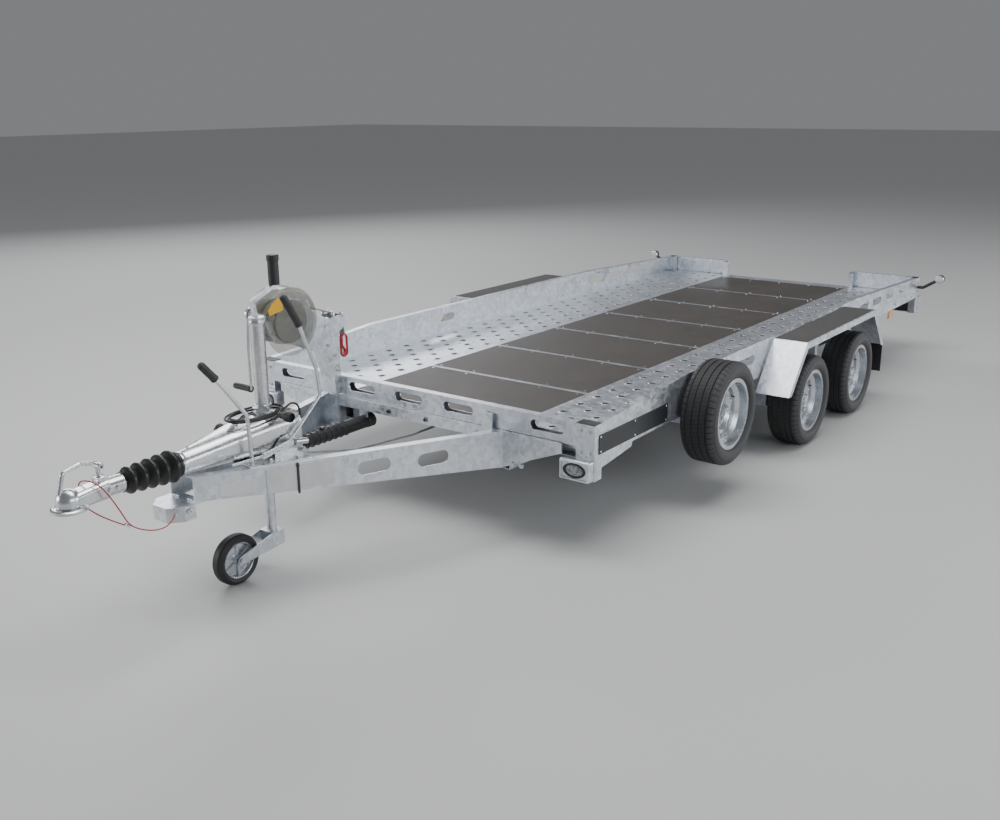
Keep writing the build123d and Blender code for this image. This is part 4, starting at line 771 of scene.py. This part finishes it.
# Parking brake linkage on the near V rail: two plates pinned together, a pull rod
# with a fork end, and the spring cylinder that keeps the brake on.
def sheet_plate(outline, y0, y1):
    """Flat plate in the XZ plane from points in millimetres, with eased edges."""
    plate = start(bpy.ops.mesh.primitive_circle_add, vertices=len(outline), radius=0.1, fill_type="NGON")
    mesh = bmesh.from_edit_mesh(plate.data)
    for corner, (x, z) in zip(sorted(mesh.verts, key=lambda v: v.index), outline):
        corner.co = at(x, y0, z)
    bmesh.update_edit_mesh(plate.data)
    bpy.ops.mesh.select_all(action="SELECT")
    bpy.ops.mesh.extrude_region_move(TRANSFORM_OT_translate={"value": (0, (y1 - y0) / 1000, 0)})
    bpy.ops.mesh.select_all(action="SELECT")
    bpy.ops.mesh.normals_make_consistent(inside=False)
    soften(0.0008, 1, 60)
    return close(plate)


def bar(start_point, end_point, radius, steps=20):
    """Round bar with chamfered ends."""
    run = Vector(end_point) - Vector(start_point)
    ease = min(0.001, radius * 0.3)
    rod = turned([(0, 0.0), (radius - ease, 0.0), (radius, ease), (radius, run.length - ease),
                  (radius - ease, run.length), (0, run.length)], steps)
    rod.data.transform(facing(start_point, run))
    return rod


quadrant = sheet_plate([(815, 548), (950, 550), (958, 580), (925, 612), (880, 622), (838, 602), (812, 572)], 108, 112)
link = sheet_plate([(868, 590), (882, 578), (1010, 566), (1022, 574), (1016, 586), (884, 606)], 136, 141)
fork = sheet_plate([(1000, 566), (1040, 562), (1046, 572), (1040, 584), (1000, 588)], 131, 146)
pull = bar(at(1036, 138, 573), at(1190, 128, 574), 0.006)
spring_case = bar(at(800, 140, 578), at(866, 140, 591), 0.013)
linkage_bolts = [facing(at(877, 134, 594), (0, 1, 0)), facing(at(1014, 141, 576), (0, 1, 0)),
                 facing(at(930, 112, 574), (0, 1, 0)), facing(at(836, 112, 566), (0, 1, 0))]
linkage = join(quadrant, link, fork, pull, spring_case, repeat(bolt(0.0085), linkage_bolts))
fit(linkage, "parking_brake_linkage", bright_zinc, "chassis")


# Under the nose a pin carries a grooved roller, and a blank plate is riveted to the
# V rail's outer face beside a pale document sleeve with a tie round it.
def along_rail(x, height, lift=0.0):
    """Point on the near V rail's outer face, lift standing proud of it, all in millimetres."""
    y = rail_nose_y + rail_close * (rail_rear + rail_run - x) / rail_run
    out = Vector((rail_close, rail_run)).normalized()
    return at(x + out.x * lift, y + out.y * lift, height)


def rail_sheet(x0, x1, z_low, z_high, thick, lift=0.0, ease=0.0006):
    """Thin plate lying on the V rail's outer face, sloping with it."""
    plate = start(bpy.ops.mesh.primitive_cube_add, size=2)
    mesh = bmesh.from_edit_mesh(plate.data)
    for corner in mesh.verts:
        x = x0 if corner.co.x < 0 else x1
        rise = rail_rise * (x - x0) / rail_run
        z = (z_low if corner.co.z < 0 else z_high) + rise
        corner.co = along_rail(x, z, lift if corner.co.y < 0 else lift + thick)
    bmesh.update_edit_mesh(plate.data)
    bpy.ops.mesh.select_all(action="SELECT")
    bpy.ops.mesh.normals_make_consistent(inside=False)
    if ease:
        soften(ease, 2)
    return plate


plate_tin, shader, place = new_finish("blank_plate", 0.1, 0.4)
brushed = place.node("Mapping", (), {"Vector": place, "Scale": (8, 8, 240)})
brushed = brushed.noise(6.0, 3.0)
feed(shader, colour=brushed.blend((0.60, 0.62, 0.64), (0.86, 0.87, 0.87)), roughness=brushed * 0.2 + 0.3,
     height=(brushed, 0.0001))
plate = rail_sheet(1112, 1248, 449, 505, 1.2, 0.1)
choose(plate, "faces", lambda f: f.normal.y > 0.9 and f.calc_area() > 0.002)
inset_and_move(0.004, (-0.0002, -0.0004, 0))
plate = close(plate)
fit(plate, "drawbar_blank_plate", plate_tin, "chassis")
out = Vector((rail_close, rail_run, 0)).normalized()
heads = [facing(along_rail(x, z, 1.2), out) for x, z in ((1119, 455), (1119, 498), (1241, 460), (1241, 504))]
rail_rivet = turned([(0.0034, 0.0), (0.0032, 0.001), (0.0018, 0.0018), (0, 0.002)], 12)
fit(repeat(rail_rivet, heads), "drawbar_plate_rivets", bright_zinc, "chassis")
sleeve_film, shader, place = new_finish("document_sleeve", 0.0, 0.16, coat=0.6)
creases_and_shade = place.noise(11.0, 4.0, 0.55)
# The film's colour follows the crease noise, darker in the hollows and paler on the ridges. This is painted shade and
# painted highlight on the crinkles.
feed(shader, colour=creases_and_shade.blend((0.50, 0.51, 0.51), (0.80, 0.81, 0.81)), roughness=creases_and_shade * 0.3 + 0.05,
     height=(creases_and_shade, 0.006))
sleeve = rail_sheet(792, 1066, 416, 520, 2.4, 0.2, 0)
bpy.ops.mesh.select_all(action="SELECT")
bpy.ops.mesh.subdivide(number_cuts=12)
mesh = bmesh.from_edit_mesh(sleeve.data)
for point in mesh.verts:
    ripple = math.sin(point.co.x * 61) * math.cos(point.co.z * 47 + point.co.x * 23)
    point.co += out * (0.0011 * (1 + ripple))
bmesh.update_edit_mesh(sleeve.data)
fit(close(sleeve), "document_sleeve", sleeve_film, "chassis", smooth=60)
tie = close(rail_sheet(936, 946, 405, 538, 2.2, 4.6))
buckle = rail_sheet(935, 947, 520, 530, 5.0, 4.8)
fit(join(tie, close(buckle)), "sleeve_tie", black_moulded, "chassis")
pin_x, pin_z = 1376, 434
roller = turned([(0.006, -0.012), (0.013, -0.012), (0.0135, -0.008), (0.009, -0.003), (0.009, 0.003),
                 (0.0135, 0.008), (0.013, 0.012), (0.006, 0.012)], 28, closed=True)
roller.data.transform(facing(at(pin_x, 88, pin_z), (0, 1, 0)))
lug = bar(at(pin_x, 76, pin_z), at(pin_x, 104, pin_z), 0.006)
fit(join(roller, lug), "cable_roller", bright_zinc, "chassis")


# Brake rod: a round bar hung under the bed from the housing to the front axle, where
# a rocking bar shares the pull between the wheel cables' threaded ends.
rod_steel, shader, place = new_finish("rod_steel", 0.8, 0.45)
film = place.noise(40.0, 4.0)
feed(shader, colour=film.blend((0.20, 0.20, 0.21), (0.55, 0.56, 0.57)), roughness=film * 0.25 + 0.32,
     height=(film, 0.0004))
route = [at(860, 80, 524), at(470, 80, 432), at(60, 80, 400), at(-1820, 80, 396)]
runs = [bar(a, b, 0.0055) for a, b in zip(route, route[1:])]
knees = []
for knee in route[1:-1]:
    ball = start(bpy.ops.mesh.primitive_uv_sphere_add, segments=16, ring_count=10, radius=0.0056, location=knee)
    knees.append(close(ball))
nuts = [facing(at(x, 80, 396), (-1, 0, 0)) for x in (-1800, -1822)]
rocker = sheet_plate([(-1836, 372), (-1818, 372), (-1818, 420), (-1836, 420)], 20, 140)
bracket = brick(at(-1848, 20, 314), at(-1812, 34, 424))
soften(0.002)
bracket = close(bracket)
rodwork = join(*runs, *knees, rocker, bracket, repeat(bolt(0.008), nuts))
fit(rodwork, "brake_rod", rod_steel, "chassis")


# Jockey wheel: a bright tube clamped in the housing, a leg that slides in it, a
# folded castor fork, and a solid rubber tyre on a pressed rim with six spokes.
coat(galvanised, "jockey_leg", "jockey_fork", "jockey_crank")
coat(flap_rubber, "jockey_tyre")
coat(rim_silver, "jockey_rim")
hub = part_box("jockey_rim")
hub = (hub[0] + hub[1]) / 2
spokes = []
for face in (1, -1):
    for i in range(6):
        a = math.tau * i / 6
        spoke = brick((-0.006, 0.021, 0.0), (0.006, 0.072, 0.007))
        choose(spoke, "faces", lambda f: f.normal.z > 0.9)
        inset_and_move(0.0022, (0, 0, 0.0018))
        close(spoke)
        turn_to = facing(hub + Vector((0, face * 0.0088, 0)), (0, face, 0)) @ Matrix.Rotation(a, 4, "Z")
        spoke.data.transform(turn_to)
        spokes.append(spoke)
    lip = turned([(0.0705, 0.0), (0.0745, 0.0), (0.0765, 0.0045), (0.0775, 0.0165), (0.076, 0.018), (0.0735, 0.0165),
                  (0.0725, 0.0065)], 56, closed=True)
    lip.data.transform(facing(hub + Vector((0, face * 0.0075, 0)), (0, face, 0)))
    spokes.append(lip)
fit(join(*spokes), "jockey_rim_spokes", rim_silver, "jockey_wheel")
axle = [facing(hub + Vector((0, side * 0.0445, 0)), (0, side, 0)) for side in (1, -1)]
fit(repeat(bolt(0.0095), axle), "jockey_axle_bolts", bright_zinc, "jockey_swivel")
ring = turned([(0.0302, -0.010), (0.034, -0.010), (0.0348, -0.008), (0.0348, 0.008), (0.034, 0.010),
               (0.0302, 0.010)], 48)
ring.data.transform(Matrix.Translation(at(905, 0, 1088)))
clamp_pad = brick(at(928, -15, 706), at(952, 15, 736))
soften(0.003, 3)
clamp_pad = close(clamp_pad)
screw = bar(at(906, 0, 722), at(905, 76, 722), 0.006)
fit(join(ring, clamp_pad, screw), "jockey_tube_fittings", bright_zinc, "chassis")


# Hand winch on a post bolted to the bed's front rail: folded cheeks, a toothed drum
# wheel with its webbing, and a smoky see-through moulded guard over it all.
coat(galvanised, "winch_post", "winch_frame")
coat(bright_zinc, "winch_crank")
webbing, shader, place = new_finish("webbing", 0.0, 0.8)
ribs = place.waves("Y", 95.0)
picks = place.waves("Z", 190.0)
soil = place.noise(30.0, 5.0)
feed(shader, colour=(ribs * 0.3 + soil * 0.6 + picks * 0.1).blend((0.22, 0.22, 0.21), (0.62, 0.61, 0.58)),
     roughness=soil * 0.2 + 0.65, height=(ribs * 0.6 + picks * 0.4, 0.0006))
coat(webbing, "winch_drum")
smoked, shader, place = new_finish("smoked_guard", 0.0, 0.12, coat=0.5)
tint = place.noise(7.0, 3.0)
feed(shader, colour=tint.blend((0.085, 0.08, 0.04), (0.22, 0.20, 0.12)), roughness=tint * 0.15 + 0.05,
     alpha=tint * 0.16 + 0.20)
coat(smoked, "winch_cover")


def toothed(points, radius, depth, root):
    """Opens a toothed wheel, every other point of its rim drawn in to the root."""
    wheel = start(bpy.ops.mesh.primitive_cylinder_add, vertices=points, radius=radius, depth=depth,
                  end_fill_type="NGON")
    mesh = bmesh.from_edit_mesh(wheel.data)
    for corner in mesh.verts:
        if round(math.atan2(corner.co.y, corner.co.x) / math.tau * points) % 2:
            corner.co.x, corner.co.y = corner.co.x * root, corner.co.y * root
    bmesh.update_edit_mesh(wheel.data)
    choose(wheel, "faces", lambda f: abs(f.normal.z) > 0.9)
    return wheel


winch_y = -500
gear = toothed(72, 0.104, 0.008, 0.945)
bpy.ops.mesh.inset(thickness=0.018)
bpy.ops.transform.resize(value=(1, 1, 0.6))
bpy.ops.mesh.inset(thickness=0.045)
bpy.ops.transform.resize(value=(1, 1, 1.9))
close(gear)
gear.data.transform(facing(at(330, -441.5, 940), (0, 1, 0)))
pinion = toothed(24, 0.024, 0.012, 0.8)
bpy.ops.mesh.inset(thickness=0.004)
close(pinion)
pinion.data.transform(facing(at(450, -440, 985), (0, 1, 0)))
ratchet = turned([(0.006, 0.0), (0.030, 0.0), (0.034, 0.003), (0.034, 0.011), (0.030, 0.014), (0.006, 0.014)], 40)
ratchet.data.transform(facing(at(462, -562, 985), (0, -1, 0)))
cheek_bolts = [facing(at(x, winch_y + side * 53, z), (0, side, 0)) for side in (1, -1)
               for x, z in ((90, 780), (100, 880), (330, 940), (250, 1010), (400, 1020), (440, 900))]
post_bolts = [facing(at(6, y, z), (1, 0, 0)) for y in (winch_y - 62, winch_y + 62) for z in (530, 580)]
post_bolts += [facing(at(x, winch_y + side * 48, z), (0, side, 0)) for side in (1, -1)
               for x, z in ((28, 640), (42, 720), (70, 850))]
cheek_bolts = repeat(bolt(0.0095), cheek_bolts + post_bolts)
fit(join(ratchet, cheek_bolts), "winch_bolts", bright_zinc, "bed")
fit(join(gear, pinion), "winch_gears", rod_steel, "bed")
rollers = []
for x, y in ((-22, -542), (-22, -458), (30, -536), (30, -464), (82, -530)):
    roll = turned([(0.0, 0.0), (0.009, 0.0), (0.010, 0.002), (0.010, 0.026), (0.009, 0.028), (0.005, 0.028),
                   (0.005, 0.034), (0, 0.0345)], 22)
    roll.data.transform(Matrix.Translation(at(x, y, 903)))
    rollers.append(roll)
fit(join(*rollers), "winch_post_rollers", bright_zinc, "bed")
yellow_film, shader, place = new_finish("yellow_film", 0.0, 0.35)
fade = place.noise(20.0, 4.0)
feed(shader, colour=fade.blend((0.72, 0.36, 0.003), (0.88, 0.50, 0.008)), roughness=fade * 0.2 + 0.4,
     height=(fade, 0.0001))
blank = sheet_plate([(384, 1006), (470, 992), (478, 1016), (452, 1046), (414, 1068), (390, 1062)], -427.6, -426.8)
fit(blank, "winch_blank_label", yellow_film, "bed")


# Red safety hook at the end of the webbing: a bent bar dipped in red plastic, with a
# bright ring through its eye and a sprung gate.
red_dip, shader, place = new_finish("red_dip", 0.0, 0.25, coat=0.6)
thick = place.noise(55.0, 3.0)
feed(shader, colour=thick.blend((0.36, 0.010, 0.014), (0.62, 0.030, 0.034)), roughness=thick * 0.2 + 0.15,
     height=(thick, 0.0004))
coat(red_dip, "winch_hook")
loop = start(bpy.ops.mesh.primitive_torus_add, major_segments=36, minor_segments=12, major_radius=0.019,
             minor_radius=0.0034)
choose(loop, "verts", lambda v: True)
bpy.ops.transform.resize(value=(1.25, 0.8, 1))
close(loop)
loop.data.transform(facing(at(-56, winch_y, 806), (0.2, 1, 0)))
gate = bar(at(-57, winch_y, 744), at(-62, winch_y, 698), 0.0032)
fit(join(loop, gate), "winch_hook_ring", bright_zinc, "bed")
body = start(bpy.ops.mesh.primitive_torus_add, major_segments=40, minor_segments=14, major_radius=0.021,
             minor_radius=0.0068)
choose(body, "verts", lambda v: True)
bpy.ops.transform.resize(value=(0.9, 1, 1))
choose(body, "verts", lambda v: v.co.y > 0)
bpy.ops.transform.translate(value=(0, 0.036, 0))
choose(body, "verts", lambda v: v.co.y <= 0)
bpy.ops.transform.translate(value=(0, -0.036, 0))
close(body)
body.data.transform(facing(at(-72, winch_y, 742), (0.15, 1, 0)))
fit(body, "winch_hook_body", red_dip, "bed", smooth=60)


# Tilt ram and its oil reservoir. The ram has a black painted barrel and a chromed
# rod, and the reservoir's ribbed black body hangs from the cross-member.
black_paint, shader, place = new_finish("black_paint", 0.0, 0.34, coat=0.3)
runs = place.noise(26.0, 5.0, 0.65)
feed(shader, colour=runs.blend((0.006, 0.006, 0.007), (0.040, 0.040, 0.041)), roughness=runs * 0.35 + 0.2,
     height=(runs, 0.0006))
coat(black_paint, "ram_barrel", "tilt_pump")
chrome, shader, place = new_finish("chromed_rod", 1.0, 0.1)
oil = place.noise(30.0, 3.0)
feed(shader, colour=oil.blend((0.70, 0.71, 0.72), (0.92, 0.93, 0.94)), roughness=oil * 0.18 + 0.04)
coat(chrome, "ram_rod")
tank_y, tank_z = -300, 385
ribs = []
for k in range(9):
    rib = turned([(0.0336, -0.0045), (0.0375, -0.0035), (0.0385, 0.0), (0.0375, 0.0035), (0.0336, 0.0045)], 40)
    rib.data.transform(facing(at(150 + 38 * k, tank_y, tank_z), (1, 0, 0)))
    ribs.append(rib)
plug = turned([(0, 0.0), (0.012, 0.0), (0.014, 0.002), (0.014, 0.010), (0.011, 0.013), (0, 0.0135)], 24)
plug.data.transform(facing(at(300, tank_y, tank_z + 33.5), (0, 0, 1)))
union = bar(at(538, tank_y, tank_z), at(562, tank_y, tank_z), 0.013)
fit(join(*ribs, plug, union), "reservoir_ribs", black_paint, "chassis")


# Lighting cable: black and round, from its gland on the far V rail over the housing's
# tail into a few loose turns round the jockey tube, to a moulded plug with two rings
# of pins.
def cord_finish(name, dark, light, rough):
    finish, shader, place = new_finish(name, 0.0, rough)
    scuffs = place.noise(60.0, 4.0)
    feed(shader, colour=scuffs.blend(dark, light), roughness=scuffs * 0.25 + (rough - 0.1), height=(scuffs, 0.0004))
    return finish


def laid_cord(name, points, radius, finish, body, nodes):
    """Round cord as one smooth spline through its control points, in metres."""
    curve = bpy.data.curves.new(name, "CURVE")
    curve.dimensions, curve.bevel_depth, curve.bevel_resolution, curve.resolution_u = "3D", radius, 5, 10
    curve.use_fill_caps = True
    spline = curve.splines.new("NURBS")
    spline.points.add(len(points) - 1)
    for point, place in zip(spline.points, points):
        point.co = (*place, 1)
    spline.order_u = 3
    spline.use_endpoint_u = True
    cord = bpy.data.objects.new(name, curve)
    bpy.context.collection.objects.link(cord)
    curve.materials.append(finish)
    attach(cord, body)
    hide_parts(*nodes)
    return cord


cable_jacket = cord_finish("cable_jacket", (0.007, 0.007, 0.008), (0.034, 0.034, 0.036), 0.45)
cable_route = [at(474, -380, 455), at(474, -290, 455), at(505, -205, 458), at(600, -140, 474), at(660, -62, 528),
               at(686, -18, 612), at(708, 2, 690), at(755, 9, 714), at(812, 34, 709)]
# Each turn's half length, half width, shift in X and Y, and height, in millimetres.
turns = [(131, 76, 0, 0, 706), (142, 84, 2, 1, 714), (124, 72, -1, 1, 716)]
coil_x, coil_y, per_turn, first_angle, crossings = 960, 10, 14, 128, (3, 4, 10, 11)
for k in range(per_turn * len(turns) - 5):
    wide, deep, dx, dy, z = turns[k // per_turn]
    a = math.radians(first_angle - 360 * k / per_turn)
    lift = 4.0 if k // per_turn == 1 and k % per_turn in crossings else 0.0
    cable_route.append(at(coil_x + dx + wide * math.cos(a), coil_y + dy + deep * math.sin(a), z + lift))
cable_route += [at(934, -57, 719), at(880, -44, 721), at(840, -12, 723), at(834, 34, 723), at(860, 70, 721),
                at(895, 90, 717), at(915, 110, 714), at(920, 128, 714)]
cable = laid_cord("light_cable_laid", cable_route, 0.0045, cable_jacket, "chassis",
                  ["light_cable", "light_cable_coil"])
plug_shape = [(0.0048, -0.012), (0.0070, -0.010), (0.0080, 0.002), (0.0120, 0.006), (0.0140, 0.012), (0.0140, 0.030),
              (0.0175, 0.036), (0.0205, 0.040), (0.0210, 0.046), (0.0210, 0.066), (0.0198, 0.069), (0.0180, 0.069),
              (0.0175, 0.058), (0, 0.058)]
plug = turned(plug_shape, 44)
keys = []
for k in range(12):
    a, r = (math.tau * k / 8, 0.0115) if k < 8 else (math.tau * k / 4, 0.0055)
    key = turned([(0.0015, 0.058), (0.0015, 0.064), (0.0010, 0.0648), (0, 0.065)], 8)
    key.data.transform(Matrix.Translation((r * math.cos(a), r * math.sin(a), 0)))
    keys.append(key)
grips = []
for k in range(16):
    rib = brick((-0.0011, 0.0195, 0.045), (0.0011, 0.0217, 0.063))
    soften(0.0005, 1)
    close(rib)
    rib.data.transform(Matrix.Rotation(math.tau * k / 16, 4, "Z"))
    grips.append(rib)
plug = join(plug, *keys, *grips)
plug.data.transform(facing(at(916, 112, 714), (-0.06, 1.0, -0.03)))
fit(plug, "light_plug_moulded", black_moulded, "chassis", ["light_plug"])
boot = turned([(0.0046, 0.032), (0.0058, 0.028), (0.0075, 0.012), (0.0088, 0.004), (0.0105, 0.0), (0, 0.0)], 28)
boot.data.transform(facing(at(474, -384, 455), (0, 1, 0)))
fit(boot, "light_cable_gland", black_moulded, "chassis")
at(474, -380, 455)


# Breakaway cable: thin steel rope in red plastic, from its boss under the nose once
# round the coupling's neck, and back to itself in a crimped ferrule.
red_jacket = cord_finish("red_jacket", (0.30, 0.008, 0.010), (0.58, 0.030, 0.030), 0.35)
brake_route = [at(1431.8, 67.4, 427), at(1475, 98, 412), at(1540, 104, 412), at(1592, 92, 430), at(1632, 74, 456),
               at(1662, 76, 520), at(1695, 70, 590), at(1722, 52, 640), at(1738, 0, 651), at(1740, -52, 632),
               at(1735, -62, 580), at(1728, -50, 535), at(1715, 0, 512), at(1690, 45, 490), at(1642, 66, 458)]
brake_cord = laid_cord("breakaway_cable_laid", brake_route, 0.0025, red_jacket, "chassis",
                       ["breakaway_cable"])
ferrule = turned([(0.0026, -0.013), (0.0052, -0.012), (0.0056, -0.009), (0.0046, -0.004), (0.0056, 0.0),
                  (0.0046, 0.004), (0.0056, 0.009), (0.0052, 0.012), (0.0026, 0.013)], 24)
ferrule.data.transform(facing(at(1637, 70, 457.5), (0.72, -0.25, 0.6)) @ Matrix.Scale(1.5, 4, (1, 0, 0)))
fit(ferrule, "breakaway_ferrule", bright_zinc, "chassis")
at(1431.8, 67.4, 427)


# Studio: a plain pale floor, wide soft lamps overhead and to both sides, and the
# camera at standing height off the trailer's near front corner.
floor_paint, shader, place = new_finish("studio_floor", 0.0, 0.55, (0.62, 0.62, 0.61))
bpy.ops.object.select_all(action="DESELECT")
bpy.ops.mesh.primitive_plane_add(size=120, location=(0, 0, 0))
floor = bpy.context.object
floor.name = "studio_floor"
floor.data.materials.append(floor_paint)


def soft_lamp(name, place, aim, width, height, power, tone=(1, 1, 1)):
    lamp = bpy.data.lights.new(name, "AREA")
    lamp.shape, lamp.size, lamp.size_y, lamp.energy, lamp.color = "RECTANGLE", width, height, power, tone
    holder = bpy.data.objects.new(name, lamp)
    holder.matrix_world = Matrix.Translation(Vector(place)) @ (
        Vector(aim) - Vector(place)).to_track_quat("-Z", "Y").to_matrix().to_4x4()
    bpy.context.collection.objects.link(holder)


soft_lamp("overhead", (1.0, 0.5, 6.5), (0, 0, 0.4), 7.0, 3.0, 380)
soft_lamp("far_side", (-4.5, -9.5, 5.6), (0.5, 0, 0.4), 9.0, 2.6, 480, (0.97, 0.98, 1.0))
soft_lamp("far_front", (8.5, -7.0, 2.4), (1.0, 0, 0.5), 5.0, 2.8, 300, (0.97, 0.98, 1.0))
soft_lamp("near_side", (1.5, 9.0, 2.8), (0, 0, 0.5), 7.0, 1.8, 210, (0.90, 0.95, 1.0))
soft_lamp("near_rear", (-7.5, 7.5, 1.9), (0, -1.0, 0.6), 6.5, 2.6, 330, (0.96, 0.98, 1.0))
world = bpy.data.worlds.new("studio")
world.use_nodes = True
sky = world.node_tree.nodes["Background"]
sky.inputs["Color"].default_value = (0.62, 0.64, 0.67, 1)
sky.inputs["Strength"].default_value = 0.34
bpy.context.scene.world = world

yaw, pitch, roll = math.radians(217.0), math.radians(16.48), math.radians(-0.51)
forward = Vector((math.cos(yaw) * math.cos(pitch), math.sin(yaw) * math.cos(pitch), -math.sin(pitch)))
level = Vector((math.sin(yaw), -math.cos(yaw), 0))
rise = level.cross(forward)
right = math.cos(roll) * level + math.sin(roll) * rise
top = math.cos(roll) * rise - math.sin(roll) * level
optics = bpy.data.cameras.new("camera")
optics.lens, optics.sensor_width, optics.clip_end = 37.92, 36.0, 200
camera = bpy.data.objects.new("camera", optics)
stand = (bed_front + 3.691, 3.342, 1.957)
camera.matrix_world = Matrix.Translation(stand) @ Matrix((right, top, -forward)).transposed().to_4x4()
bpy.context.collection.objects.link(camera)
bpy.context.scene.camera = camera
